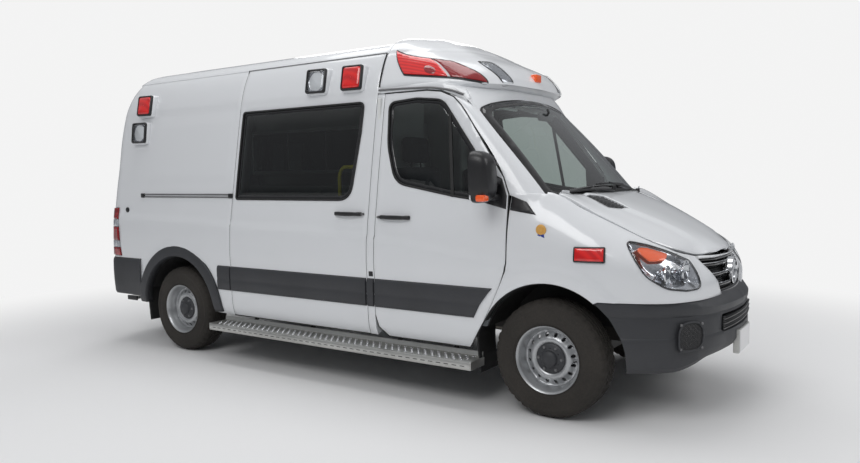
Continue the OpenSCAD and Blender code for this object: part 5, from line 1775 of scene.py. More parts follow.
@dataclass
class Mirror:
    """A door mirror: tall rounded housing, two arms, glass and a flasher."""

    side: int
    word: str

    def build(self) -> None:
        """Builds the mirror's pieces."""
        body = f"front_door_{self.word}"
        rows = []
        for k in range(17):
            t = k / 16
            x = -0.318 - 0.122 * t
            size = math.sqrt(max(1 - (1 - t) ** 2.6, 0.0)) if t < 1 else 1.0
            size = max(size, 0.12) * (1.0 if t < 0.9 else 0.985)
            ring = []
            for a in range(40):
                c, s = math.cos(a * math.tau / 40), math.sin(a * math.tau / 40)
                px = math.copysign(abs(c) ** 0.62, c)
                pz = math.copysign(abs(s) ** 0.55, s)
                lean = 0.010 * pz
                ring.append((x, 1.097 + 0.104 * px * (0.55 + 0.45 * size) + lean, 1.565 + 0.170 * pz *
                             (0.50 + 0.50 * size)))
            rows.append(ring)
        shell = loft(f"mirror_shell_{self.word}", rows, self.side, closed=True, caps=False, sharp=60)
        bm = bmesh.new()
        bm.from_mesh(shell.data)
        bmesh.ops.holes_fill(bm, edges=[e for e in bm.edges if e.is_boundary and
                                        e.verts[0].co.x > AXLE_X - 0.36])
        bmesh.ops.recalc_face_normals(bm, faces=bm.faces)
        bm.to_mesh(shell.data)
        bm.free()
        wall = shell.modifiers.new("wall", "SOLIDIFY")
        wall.thickness, wall.offset = 0.003, -1
        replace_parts(finish_piece(shell, TRIM, body), f"mirror_{self.word}")
        outline = rounded([(1.008, 1.50, 0.03), (1.186, 1.50, 0.03), (1.188, 1.715, 0.05),
                           (1.012, 1.715, 0.05)])
        pane = Sheet(lambda y, z: (-0.432, y, z), outline, [], spacing=0.06, side=self.side, depth=-0.008)
        finish_piece(pane.build(f"mirror_glass_{self.word}"), CHROME, body)
        small = rounded([(1.010, 1.412, 0.025), (1.182, 1.412, 0.025), (1.186, 1.485, 0.02),
                         (1.008, 1.485, 0.02)])
        wide = Sheet(lambda y, z: (-0.432 - 0.004 * (1 - ((y - 1.1) / 0.09) ** 2), y, z), small, [],
                     spacing=0.04,
                     side=self.side, depth=-0.008)
        finish_piece(wide.build(f"mirror_wide_glass_{self.word}"), CHROME, body)
        arms = [tube("arm", [(-0.36, SIDE(z0) - 0.004, z0), (-0.372, 1.0, z0 + 0.01), (-0.385, 1.05, z1)],
                     0.026,
                     self.side, 16) for z0, z1 in ((1.425, 1.45), (1.53, 1.545))]
        finish_piece(joined(f"mirror_arms_{self.word}", [dressed(a, TRIM) for a in arms]), TRIM, body)
        lamp = block(f"mirror_flasher_{self.word}", (-0.392, 1.118, 1.408), (-0.330, 1.196, 1.452), 0.016,
                     self.side)
        finish_piece(lamp, ORANGE, body)


# ---------- roof lights ----------
CAP_SLICES = [
    (2.196, [(-0.600, 0.0), (-0.620, 0.40), (-0.700, 0.62), (-0.86, 0.775), (-1.20, 0.822), (-1.42, 0.828)]),
    (2.228, [(-0.505, 0.0), (-0.535, 0.40), (-0.61, 0.60), (-0.79, 0.765), (-1.20, 0.822), (-1.42, 0.826)]),
    (2.37, [(-0.60, 0.0), (-0.632, 0.40), (-0.72, 0.575), (-0.90, 0.71), (-1.25, 0.772), (-1.42, 0.782)]),
    (2.48, [(-0.80, 0.0), (-0.85, 0.40), (-0.95, 0.54), (-1.10, 0.655), (-1.30, 0.712), (-1.42, 0.732)]),
    (2.58, [(-1.00, 0.0), (-1.05, 0.36), (-1.15, 0.48), (-1.24, 0.56), (-1.34, 0.63), (-1.42, 0.645)]),
    (2.64, [(-1.16, 0.0), (-1.20, 0.30), (-1.27, 0.38), (-1.32, 0.44), (-1.38, 0.49), (-1.42, 0.50)]),
    (2.668, [(-1.30, 0.0), (-1.32, 0.15), (-1.35, 0.22), (-1.38, 0.26), (-1.41, 0.28), (-1.42, 0.29)]),
]


class CapShape:
    """The moulded cap over the cab: u runs from its middle line to its rear edge, z is the height."""

    def __init__(self) -> None:
        """Prepares one smooth curve for each station and half width of the slices."""
        count = 6
        self.x = [Curve([(z, row[i][0]) for z, row in CAP_SLICES]) for i in range(count)]
        self.y = [Curve([(z, row[i][1]) for z, row in CAP_SLICES]) for i in range(count)]
        self.knots = [0.0, 0.40, 0.62, 0.88, 1.22, 1.50]

    def at(self, u: float, z: float) -> Point3:
        """Returns a point of the cap's surface."""
        x = Curve([(k, c(z)) for k, c in zip(self.knots, self.x)])(abs(u))
        y = Curve([(k, c(z)) for k, c in zip(self.knots, self.y)])(abs(u))
        return x, y * (1 if u >= 0 else -1), z


CAP = CapShape()


@dataclass
class RoofCap:
    """The cap over the cab with its built-in lamps."""

    def build(self) -> None:
        """Builds the cap, then its lamps."""
        levels = [(2.196, -0.05), (2.197, 0.0), (2.21, 0.0),
                  *[(z, 0.0) for z in np.linspace(2.228, 2.668, 34)]]
        rows = []
        stations = np.concatenate([np.linspace(-1.5, -0.3, 46), np.linspace(-0.26, 0.26, 14),
                                   np.linspace(0.3, 1.5, 46)])
        for z, out in levels:
            row = []
            for u in stations:
                x, y, _ = CAP.at(float(u), z)
                groove = 0.006 * math.exp(-((z - 2.507) / 0.006) ** 2)
                lip = 0.010 * ramp(2.245 - z, 0, 0.01)
                row.append((x + out - groove * ramp(x, -1.2, -1.0) + lip * ramp(x, -1.0, -0.7),
                            y - math.copysign(groove - lip, y) * (1 if abs(y) > 0.2 else 0), z))
            rows.append(row)
        rows.append([(-1.40, y * 0.2, 2.671) for _, y, _ in rows[-1]])
        cap = loft("roof_cap_skin", rows, LEFT, thickness=0.006, sharp=45)
        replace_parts(finish_piece(cap, WHITE), "roof_cap")
        for side, word in ((RIGHT, "right"), (LEFT, "left")):
            self.side_lamp(side, word)
            self.front_lamp(side, word)
        x, _, z = CAP.at(0.0, 2.31)
        amber = block("cap_amber", (x - 0.02, -0.045, 2.285), (x + 0.03, 0.045, 2.345), 0.010)
        finish_piece(amber, ORANGE)
        under = Sheet(lambda x0, y0: (x0, y0, 2.199 - 0.03 * ramp(x0, -0.9, -0.6)),
                      [(-0.62, 0.50), (-0.75, 0.70), (-1.0, 0.80), (-1.41, 0.82), (-1.41, -0.82),
                       (-1.0, -0.80),
                       (-0.75, -0.70), (-0.62, -0.50)], [], spacing=0.08, depth=-0.01)
        finish_piece(under.build("cab_headlining"), LAMINATE)
        log.info("roof cap")

    def side_lamp(self, side: int, word: str) -> None:
        """Long red lamp at the cap's corner, with its dark reflector roundel and black gasket."""
        outer = rounded([(1.345, 2.535, 0.02), (1.215, 2.312, 0.025), (0.615, 2.212, 0.03),
                         (0.675, 2.30, 0.05),
                         (0.80, 2.405, 0.05)])
        gasket = Sheet(CAP.at, outer, [inset(outer, 0.016)], spacing=0.03, side=side, lift=0.007, depth=0.010)
        finish_piece(gasket.build(f"cap_gasket_{word}"), TRIM)
        split = 0.93
        lens = inset(outer, 0.014)
        rear = [(u, z) for u, z in resample(lens, 0.02) if u >= split]
        fore = [(u, z) for u, z in resample(lens, 0.02) if u <= split]
        made = Sheet(CAP.at, rear, [], spacing=0.02, side=side, lift=0.014, depth=0.012, edge=0.004)
        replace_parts(finish_piece(made.build(f"cap_red_{word}"), RED), "warning_lights")
        ribbed = Sheet(CAP.at, fore, [], spacing=0.02, side=side, lift=0.012, depth=0.012, edge=0.004)
        finish_piece(ribbed.build(f"cap_dark_red_{word}"), DARK_RED)
        u, z = 1.02, 2.335
        ring = [(u + 0.034 * math.cos(a), z + 0.034 * math.sin(a)) for a in
                (k * math.tau / 28 for k in range(28))]
        roundel = Sheet(CAP.at, ring, [], spacing=0.02, side=side, lift=0.017, depth=0.006, edge=0.003)
        finish_piece(roundel.build(f"cap_roundel_{word}"), DARK_RED)

    @staticmethod
    def front_lamp(side: int, word: str) -> None:
        """Clear lamp on the cap's brow."""
        outer = rounded([(0.60, 2.405, 0.03), (0.45, 2.405, 0.03), (0.375, 2.235, 0.03), (0.50, 2.215, 0.03)])
        gasket = Sheet(CAP.at, outer, [inset(outer, 0.012)], spacing=0.03, side=side, lift=0.006, depth=0.010)
        finish_piece(gasket.build(f"brow_gasket_{word}"), TRIM)
        back = Sheet(CAP.at, inset(outer, 0.010), [], spacing=0.02, side=side, lift=0.004, depth=0.004)
        finish_piece(back.build(f"brow_reflector_{word}"), REFLECTOR)
        lens = Sheet(CAP.at, inset(outer, 0.011), [], spacing=0.02, side=side, lift=0.014, depth=0.012,
                     edge=0.005)
        finish_piece(lens.build(f"brow_lens_{word}"), CLEAR)


@dataclass
class SidePod:
    """A square warning lamp on a white wedge at the top of the side."""

    name: str
    side: int
    centre: Point2
    lean: float
    finish: Finish
    size: float = 0.098

    def build(self) -> None:
        """Builds the wedge, the bezel and the lens."""
        x, z = self.centre
        x += TAIL(z) * (1 - ramp(x, TAIL_X + 0.1, TAIL_X + 0.8))
        y = SIDE(z) + 0.046
        turn = Matrix.Rotation(math.radians(self.lean), 3, "X") @ Matrix.Rotation(math.radians(-3), 3, "Z")
        half = self.size
        rows = []
        outline = rounded([(-half, -half, 0.022), (half, -half, 0.022), (half, half, 0.022),
                           (-half, half, 0.022)])
        for out, grow in ((-0.085, 1.16), (-0.02, 1.08), (-0.004, 1.03), (0.0, 0.98)):
            rows.append([Vector((x, y, z)) + turn @ Vector((a * grow, out, b * grow)) for a, b in outline])
        wedge = loft(f"{self.name}_wedge", rows, self.side, closed=True, caps=True)
        finish_piece(wedge, WHITE)
        rows = []
        for out, grow in ((-0.004, 1.0), (0.012, 1.0), (0.020, 0.96), (0.022, 0.88), (0.016, 0.84),
                          (0.004, 0.82)):
            rows.append([Vector((x, y, z)) + turn @ Vector((a * grow, out, b * grow)) for a, b in outline])
        finish_piece(loft(f"{self.name}_bezel", rows, self.side, closed=True, sharp=50), TRIM)
        rows = []
        for out, grow in ((0.004, 0.84), (0.016, 0.835), (0.021, 0.80), (0.024, 0.6), (0.026, 0.3),
                          (0.0265, 0.02)):
            rows.append([Vector((x, y, z)) + turn @ Vector((a * grow, out, b * grow)) for a, b in outline])
        lens = CLEAR if self.finish is LAMP_CLEAR else self.finish
        finish_piece(loft(f"{self.name}_lens", rows, self.side, closed=True, sharp=50), lens)
        if self.finish is LAMP_CLEAR:
            self.reflector(turn, Vector((x, y, z)))

    def reflector(self, turn: Matrix, centre: Vector) -> None:
        """Fluted reflector behind a clear lens."""
        rows = []
        reach = self.size * 0.82
        for b in np.linspace(-reach, reach, 27):
            row = []
            for a in np.linspace(-reach, reach, 27):
                away = math.hypot(a, b) / reach
                row.append(centre + turn @ Vector((a, -0.018 + 0.020 * min(away, 1.0) ** 2 + 0.0012 *
                                                   math.sin(a * 900), b)))
            rows.append(row)
        finish_piece(loft(f"{self.name}_reflector", rows, self.side, sharp=30), REFLECTOR)


@dataclass
class TailLamp:
    """Tall tail lamp wrapped round the rear corner, in four bands."""

    side: int
    word: str

    def build(self) -> None:
        """Builds the bands and the black back plate."""
        outline = BodyShell.lamp_opening()
        back = Sheet(Skin.side, inset(outline, 0.001), [], spacing=0.02, side=self.side, lift=-0.004,
                     depth=0.02)
        made = finish_piece(back.build(f"tail_lamp_back_{self.word}"), TRIM)
        if self.side == RIGHT:
            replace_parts(made, "tail_lights")
        bands = ((0.842, 0.925, DARK_RED), (0.928, 0.99, LAMP_CLEAR), (0.993, 1.125, DARK_RED),
                 (1.128, 1.195, LAMP_CLEAR), (1.198, 1.31, DARK_RED))
        for number, (low, high, finish) in enumerate(bands):
            piece = clip(resample(inset(outline, 0.005), 0.01), low + 0.001, high - 0.001)
            lens = Sheet(Skin.side, piece, [], spacing=0.018, side=self.side, lift=0.010, depth=0.014,
                         edge=0.003)
            finish_piece(lens.build(f"tail_lamp_{self.word}_{number}"), finish)


def clip(points: Sequence[Point2], low: float, high: float) -> list[Point2]:
    """Returns the part of an outline between two heights."""
    out: list[Point2] = []
    for bound, above in ((low, True), (high, False)):
        kept: list[Point2] = []
        for a, b in zip(points, [*points[1:], points[0]]):
            ina, inb = (a[1] >= bound) == above, (b[1] >= bound) == above
            if ina:
                kept.append(a)
            if ina != inb:
                t = (bound - a[1]) / (b[1] - a[1])
                kept.append((a[0] + (b[0] - a[0]) * t, bound))
        points = kept
        out = kept
    return out


# ---------- steps, flaps and underside ----------
@dataclass
class Steps:
    """Running boards, the rear step and the mudflaps."""

    def build(self) -> None:
        """Builds both sides, then the rear."""
        for side, word in ((RIGHT, "right"), (LEFT, "left")):
            self.board(side, word)
            self.flap(side, word, -0.512, 0.235, 0.60, "front")
            self.flap(side, word, REAR_X - 0.495, 0.24, 0.57, "rear")
        x = TAIL_X
        rows = []
        for y in np.linspace(-0.76, 0.76, 60):
            rows.append([(x + 0.03, y, 0.362), (x - 0.10, y, 0.360), (x - 0.107, y, 0.366),
                         (x - 0.107, y, 0.386),
                         (x - 0.10, y, 0.391), *[(x - 0.095 + 0.008 * k, y, 0.391 - (0.003 if k % 2 else 0))
                                                 for k in range(15)], (x + 0.03, y, 0.391)])
        plate = dressed(loft("plate", rows, LEFT, closed=True, caps=True, sharp=25), ALLOY)
        ends = [dressed(block("end", (x - 0.105, s * 0.755 - 0.012, 0.352),
                              (x + 0.05, s * 0.755 + 0.005, 0.396),
                              0.005), TRIM) for s in (-1, 1)]
        arms = [dressed(tube("arm", [(x - 0.05, y, 0.37), (x + 0.12, y, 0.37), (x + 0.22, y, 0.46)], 0.022),
                        CHASSIS) for y in (-0.45, 0.45)]
        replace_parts(finish_piece(joined("rear_step_tread", [plate, *ends, *arms]), ALLOY), "rear_step")
        log.info("steps")

    @staticmethod
    def board(side: int, word: str) -> None:
        """One running board: pressed tray with grip buttons, tread slots and brackets."""
        rear, front = -3.122, -0.498
        inner, outer, top, low = 0.912, 1.100, 0.332, 0.276
        parts = []
        rows = []
        for x in np.linspace(rear, front, 80):
            rows.append([(x, inner, top + 0.034), (x, inner + 0.004, top + 0.036),
                         (x, inner + 0.010, top + 0.004),
                         (x, inner + 0.02, top), (x, outer - 0.016, top), (x, outer - 0.004, top - 0.003),
                         (x, outer, top - 0.012), (x, outer, low + 0.010), (x, outer - 0.005, low + 0.002),
                         (x, outer - 0.03, low)])
        parts.append(dressed(loft("tray", rows, side, thickness=0.004, sharp=25), ALLOY))
        for end in (rear, front):
            parts.append(dressed(block("end", (end - 0.006, inner, low),
                                       (end + 0.006, outer - 0.002, top + 0.002),
                                       0.004, side), ALLOY))
        finish_piece(joined(f"running_board_{word}", parts), ALLOY)
        holes = []
        count = 44
        for k in range(count):
            x = rear + 0.06 + (front - rear - 0.12) * k / (count - 1)
            for row, y in enumerate((0.945, 0.985, 1.025, 1.065)):
                shift = 0.030 if row % 2 else 0.0
                if shift + x > front - 0.04:
                    continue
                profile = [(0.0, 0.0008), (0.006, 0.0010), (0.0085, 0.0032), (0.011, 0.0030), (0.0135, 0.0)]
                holes.append(turned("button", profile, (x + shift, y, top + 0.002), "z", side, 8))
        finish_piece(joined(f"board_grip_{word}", [dressed(h, CHROME) for h in holes]), CHROME)
        slots = []
        for k in range(40):
            x = rear + 0.06 + (front - rear - 0.12) * k / 39
            slots.append(block("slot", (x - 0.020, outer - 0.004, 0.298), (x + 0.020, outer + 0.0022, 0.307),
                               0.002, side, segments=1))
        finish_piece(joined(f"board_slots_{word}", [dressed(s, TRIM) for s in slots]), TRIM)
        arms = []
        for x in (rear + 0.25, -2.2, -1.3, front - 0.3):
            arms.append(tube("arm", [(x, 0.93, 0.318), (x, 0.80, 0.32), (x, 0.70, 0.42), (x, 0.55, 0.46)],
                             0.016,
                             side))
            arms.append(block("pad", (x - 0.04, 0.915, 0.300), (x + 0.04, 1.06, 0.322), 0.004, side))
        finish_piece(joined(f"board_brackets_{word}", [dressed(a, CHASSIS) for a in arms]), CHASSIS)
        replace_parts(bpy.data.objects[f"running_board_{word}"], "side_steps")

    @staticmethod
    def flap(side: int, word: str, x: float, low: float, high: float, place: str) -> None:
        """One mudflap, slightly curved, with its ribs."""
        rows = []
        for z in np.linspace(low, high, 22):
            t = (z - low) / (high - low)
            rib = 0.003 if 0.25 < t < 0.3 or 0.7 < t < 0.75 else 0.0
            rows.append([(x + 0.018 * (1 - t) - 0.010 * math.sin(t * 3) + rib, y, z) for y in
                         np.linspace(0.72, 0.965, 14)])
        made = finish_piece(loft(f"mudflap_{place}_{word}", rows, side, thickness=0.007, sharp=50), RUBBER)
        if place == "front" and side == RIGHT:
            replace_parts(made, "mudflaps")


@dataclass
class Wheel:
    """One wheel: tyre with tread and side rings, pressed steel disc, cap and nuts."""

    name: str
    x: float
    side: int

    def build(self) -> None:
        """Builds the tyre, the disc and the small parts."""
        body = f"{self.name}_wheel"
        self.tyre(body)
        self.disc(body)
        self.cap(body)
        log.info(self.name)

    def centre(self) -> Point3:
        """Returns the wheel's centre."""
        return self.x, WHEEL_Y, AXLE_Z

    def tyre(self, body: str) -> None:
        """Tyre with shoulder blocks, grooves and rings on its walls."""
        profile = [(0.207, -0.095), (0.226, -0.109), (0.238, -0.113), (0.240, -0.1155), (0.262, -0.117),
                   (0.30, -0.1172), (0.303, -0.1162), (0.325, -0.1155), (0.328, -0.1165), (0.345, -0.112),
                   (0.362, -0.103), (0.374, -0.092), (0.3795, -0.080)]
        outer = [(r, -a) for r, a in profile][::-1]
        tread = []
        for a, depth in ((-0.078, 0), (-0.050, 0), (-0.049, 1), (-0.041, 1), (-0.040, 0), (-0.018, 0),
                         (-0.017, 1), (-0.009, 1), (-0.008, 0), (0.008, 0), (0.009, 1), (0.017, 1),
                         (0.018, 0),
                         (0.040, 0), (0.041, 1), (0.049, 1), (0.050, 0), (0.078, 0)):
            tread.append((0.3862 - 0.0035 * (a / 0.078) ** 2 - 0.0075 * depth, a))
        section = profile + tread + outer
        steps = 216
        bm = bmesh.new()
        rings = []
        cx, cy, cz = self.centre()
        for k in range(steps):
            angle = k * math.tau / steps
            cut = k % 6 in (4, 5)
            ring = []
            for radius, along in section:
                sipe = cut and abs(along) > 0.052 and radius > 0.366
                block_cut = (k % 6 in (1, 2)) and 0.018 <= abs(along) <= 0.040 and radius > 0.38
                r = radius - (0.0065 if sipe else 0.0) - (0.004 if block_cut else 0.0)
                ring.append(bm.verts.new(placed((cx + r * math.cos(angle), cy + along,
                                                 cz + r * math.sin(angle)), self.side)))
            rings.append(ring)
        for k in range(steps):
            a, b = rings[k], rings[(k + 1) % steps]
            for i in range(len(section) - 1):
                bm.faces.new((a[i], a[i + 1], b[i + 1], b[i]))
        bmesh.ops.recalc_face_normals(bm, faces=bm.faces)
        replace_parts(finish_piece(from_bmesh(f"{self.name}_tread", bm, 32), TYRE, body), f"{self.name}_tyre")

    def disc(self, body: str) -> None:
        """Pressed steel disc with a ring of oval holes, welded into its rim."""
        cx, cy, cz = self.centre()
        rim = [(0.208, -0.108), (0.216, -0.112), (0.2185, -0.108), (0.209, -0.094), (0.196, -0.080),
               (0.186, -0.03), (0.184, 0.03), (0.192, 0.060), (0.2015, 0.076), (0.207, 0.094), (0.214, 0.104),
               (0.2195, 0.107), (0.2225, 0.112), (0.2205, 0.1155), (0.2145, 0.1125), (0.207, 0.103),
               (0.200, 0.085), (0.195, 0.070)]
        ring = dressed(turned("rim", rim, (cx, cy, cz), side=self.side, steps=96), STEEL)
        face = Curve([(0.060, 0.040), (0.082, 0.040), (0.098, 0.047), (0.108, 0.056), (0.122, 0.060),
                      (0.135, 0.056), (0.165, 0.034), (0.178, 0.028), (0.190, 0.036), (0.197, 0.050)])
        holes = []
        for k in range(16):
            angle = (k + 0.5) * math.tau / 16
            points = []
            for a in range(16):
                t = a * math.tau / 16
                radial, across = 0.0145 * math.cos(t), 0.0115 * math.sin(t)
                points.append(((0.1575 + radial) * math.cos(angle) - across * math.sin(angle),
                               (0.1575 + radial) * math.sin(angle) + across * math.cos(angle)))
            holes.append(points)
        outline = [(0.197 * math.cos(k * math.tau / 96), 0.197 * math.sin(k * math.tau / 96))
                   for k in range(96)]

        def pressed(a: float, b: float) -> Point3:
            """Returns a point of the pressed face, swollen between the holes."""
            radius = math.hypot(a, b)
            swell = 0.0
            angle = (math.atan2(b, a) / math.tau * 16) % 1.0
            if 0.128 < radius < 0.19:
                swell = 0.0025 * math.cos((angle - 0.5) * math.tau) * math.sin((radius - 0.128) / 0.062 *
                                                                               math.pi)
            return cx + a, cy + face(radius) + swell, cz + b

        disc = DiscSheet(pressed, outline, holes, spacing=0.011, side=self.side, depth=0.010, edge=0.0022)
        plate = dressed(disc.build("disc"), STEEL)
        made = finish_piece(joined(f"{self.name}_disc", [ring, plate]), STEEL, body)
        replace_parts(made, f"{self.name}_rim")
        drum = turned(f"{self.name}_brake", [(0.03, -0.02), (0.150, -0.02), (0.152, -0.016), (0.152, 0.006),
                                             (0.148, 0.010), (0.05, 0.010)], (cx, cy, cz), side=self.side,
                      steps=64)
        finish_piece(drum, CASTING, body)
        valve = tube(f"{self.name}_valve", [(cx + 0.178, cy + 0.050, cz), (cx + 0.168, cy + 0.075, cz)],
                     0.0042,
                     self.side, 10)
        finish_piece(valve, RUBBER, body)

    def cap(self, body: str) -> None:
        """Plain plastic centre cap with small slots, inside the bright ring of nuts."""
        cx, cy, cz = self.centre()
        profile = [(0.0, 0.096), (0.030, 0.096), (0.036, 0.092), (0.046, 0.090), (0.052, 0.084),
                   (0.056, 0.070),
                   (0.068, 0.064), (0.092, 0.062), (0.099, 0.056), (0.101, 0.045)]
        parts = [dressed(turned("dome", profile, (cx, cy, cz), side=self.side, steps=72), STRIP)]
        for k in range(6):
            a = k * math.tau / 6
            x, z = cx + 0.080 * math.cos(a), cz + 0.080 * math.sin(a)
            parts.append(dressed(turned("nut", [(0.0, 0.071), (0.0085, 0.070), (0.0105, 0.066),
                                                (0.0125, 0.0615)],
                                        (x, cy, z), side=self.side, steps=6, sharp=20), CASTING))
            b = a + math.tau / 12
            x, z = cx + 0.064 * math.cos(b), cz + 0.064 * math.sin(b)
            parts.append(dressed(turned("slot", [(0.0, 0.0668), (0.006, 0.0665), (0.0075, 0.062)], (x, cy, z),
                                        side=self.side, steps=12), TRIM))
        finish_piece(joined(f"{self.name}_cap", parts), STRIP, body)


# ---------- interior ----------
@dataclass
class Cushion:
    """A soft part, crowned by gas pressure in a cloth simulation inside its cover."""

    name: str
    low: Point3
    high: Point3
    finish: Finish
    side: int = LEFT
    node: str = ""
    turn: float = 0.0

    def build(self) -> bpy.types.Object:
        obj = block(self.name, self.low, self.high, 0.035, self.side,
                    Matrix.Rotation(math.radians(self.turn), 3, "Y"), 4)
        finish_piece(obj, self.finish)
        self.swell(obj)
        if self.node:
            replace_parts(obj, self.node)
        return obj

    @staticmethod
    def swell(obj: bpy.types.Object) -> None:
        """Remeshes the cushion and presses it out as cloth, then keeps the small movement."""
        remesh = obj.modifiers.new("voxels", "REMESH")
        remesh.mode = "VOXEL"
        remesh.voxel_size = 0.022
        remesh.use_smooth_shade = True
        depsgraph = bpy.context.evaluated_depsgraph_get()
        mesh = bpy.data.meshes.new_from_object(obj.evaluated_get(depsgraph))
        obj.modifiers.clear()
        obj.data = mesh
        rest = np.array([v.co for v in mesh.vertices], float)
        cloth = obj.modifiers.new("cloth", "CLOTH")
        cloth.settings.use_pressure = True
        cloth.settings.uniform_pressure_force = 4
        cloth.settings.effector_weights.gravity = 0
        cloth.settings.quality = 4
        cloth.point_cache.frame_start, cloth.point_cache.frame_end = 1, 12
        scene = bpy.context.scene
        for number in range(1, 13):
            scene.frame_set(number)
        done = obj.evaluated_get(bpy.context.evaluated_depsgraph_get()).data
        moved = np.array([v.co for v in done.vertices], float)
        obj.modifiers.clear()
        scene.frame_set(1)
        shift = moved - rest
        size = np.linalg.norm(shift, axis=1, keepdims=True)
        cap = 0.014
        shift *= np.minimum(1.0, cap / np.maximum(size, 1e-9))
        obj.data.vertices.foreach_set("co", (rest + shift).ravel())
        obj.data.polygons.foreach_set("use_smooth", [True] * len(obj.data.polygons))
        obj.data.update()
        fine = obj.modifiers.new("fine", "SUBSURF")
        fine.levels = fine.render_levels = 1


@dataclass
class Cab:
    """Seats, dashboard and wheel of the cab."""

    def build(self) -> None:
        """Builds the cab's furnishing."""
        for side, word in ((LEFT, "driver"), (RIGHT, "passenger")):
            first = side == LEFT
            Cushion(f"{word}_seat", (-1.28, 0.275, 0.93), (-0.76, 0.745, 1.06), CLOTH, side,
                    "cab_seats" if first else "").build()
            Cushion(f"{word}_back", (-1.36, 0.275, 1.04), (-1.22, 0.745, 1.66), CLOTH, side, turn=-6).build()
            Cushion(f"{word}_headrest", (-1.375, 0.37, 1.68), (-1.275, 0.65, 1.88), CLOTH, side,
                    turn=-6).build()
            parts = [block("base", (-1.22, 0.30, 0.615), (-0.84, 0.72, 0.93), 0.02, side),
                     tube("post", [(-1.325, 0.45, 1.64), (-1.325, 0.45, 1.72)], 0.007, side),
                     tube("post", [(-1.325, 0.57, 1.64), (-1.325, 0.57, 1.72)], 0.007, side),
                     block("lever", (-1.28, 0.75, 0.96), (-1.10, 0.775, 1.02), 0.01, side)]
            finish_piece(joined(f"{word}_frame", [dressed(p, TRIM) for p in parts]), TRIM)
        rows = []
        for y in np.linspace(-0.83, 0.83, 61):
            hood = 0.05 * math.exp(-((y - 0.51) / 0.22) ** 2)
            lift = ramp(abs(y), 0.44, 0.50)
            rows.append([(-0.24, y, 0.70 + 0.27 * lift), (-0.40, y, 0.72 + 0.26 * lift),
                         (-0.47, y, 0.95 + 0.05 * lift), (-0.52, y, 1.16),
                         (-0.53 - hood, y, 1.30 + hood), (-0.50 - hood, y, 1.335 + hood),
                         (-0.40, y, 1.375 + hood),
                         (-0.20, y, 1.43), (-0.10, y, 1.44)])
        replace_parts(finish_piece(loft("dash_shell", rows, LEFT, thickness=0.006, sharp=45), TRIM),
                    "dashboard")
        parts = []
        for y in (-0.66, -0.08, 0.08, 0.70):
            parts.append(dressed(block("vent", (-0.545, y - 0.06, 1.18), (-0.515, y + 0.06, 1.26), 0.008),
                                 STRIP))
        parts.append(dressed(block("radio", (-0.535, -0.10, 1.02), (-0.505, 0.10, 1.15), 0.008), GLOSS_BLACK))
        ring = [(math.cos(k * math.tau / 40) * 0.19, math.sin(k * math.tau / 40) * 0.19) for k in range(41)]
        turn = Matrix.Rotation(math.radians(-62), 3, "Y")
        hub = Vector((-0.70, 0.51, 1.25))
        wheel = tube("ring", [hub + turn @ Vector((a, b, 0)) for a, b in ring], 0.014, smooth=0)
        parts.append(dressed(wheel, TRIM))
        for a in (0.4, 2.75, 4.7):
            parts.append(dressed(tube("spoke", [hub + turn @ Vector((0, 0, -0.03)), hub + turn @ Vector(
                (0.18 * math.cos(a), 0.18 * math.sin(a), 0))], 0.012), TRIM))
        parts.append(dressed(tube("column", [hub + turn @ Vector((0, 0, -0.01)), hub + turn @ Vector(
            (0, 0, -0.20))], 0.035), TRIM))
        finish_piece(joined("dash_fittings", parts), TRIM)
        for side, word in ((RIGHT, "right"), (LEFT, "left")):
            visor = block(f"sun_visor_{word}", (-0.80, 0.14, 2.085), (-0.62, 0.60, 2.105), 0.009, side,
                          Matrix.Rotation(math.radians(18), 3, "Y"))
            finish_piece(visor, LAMINATE)
        log.info("cab")


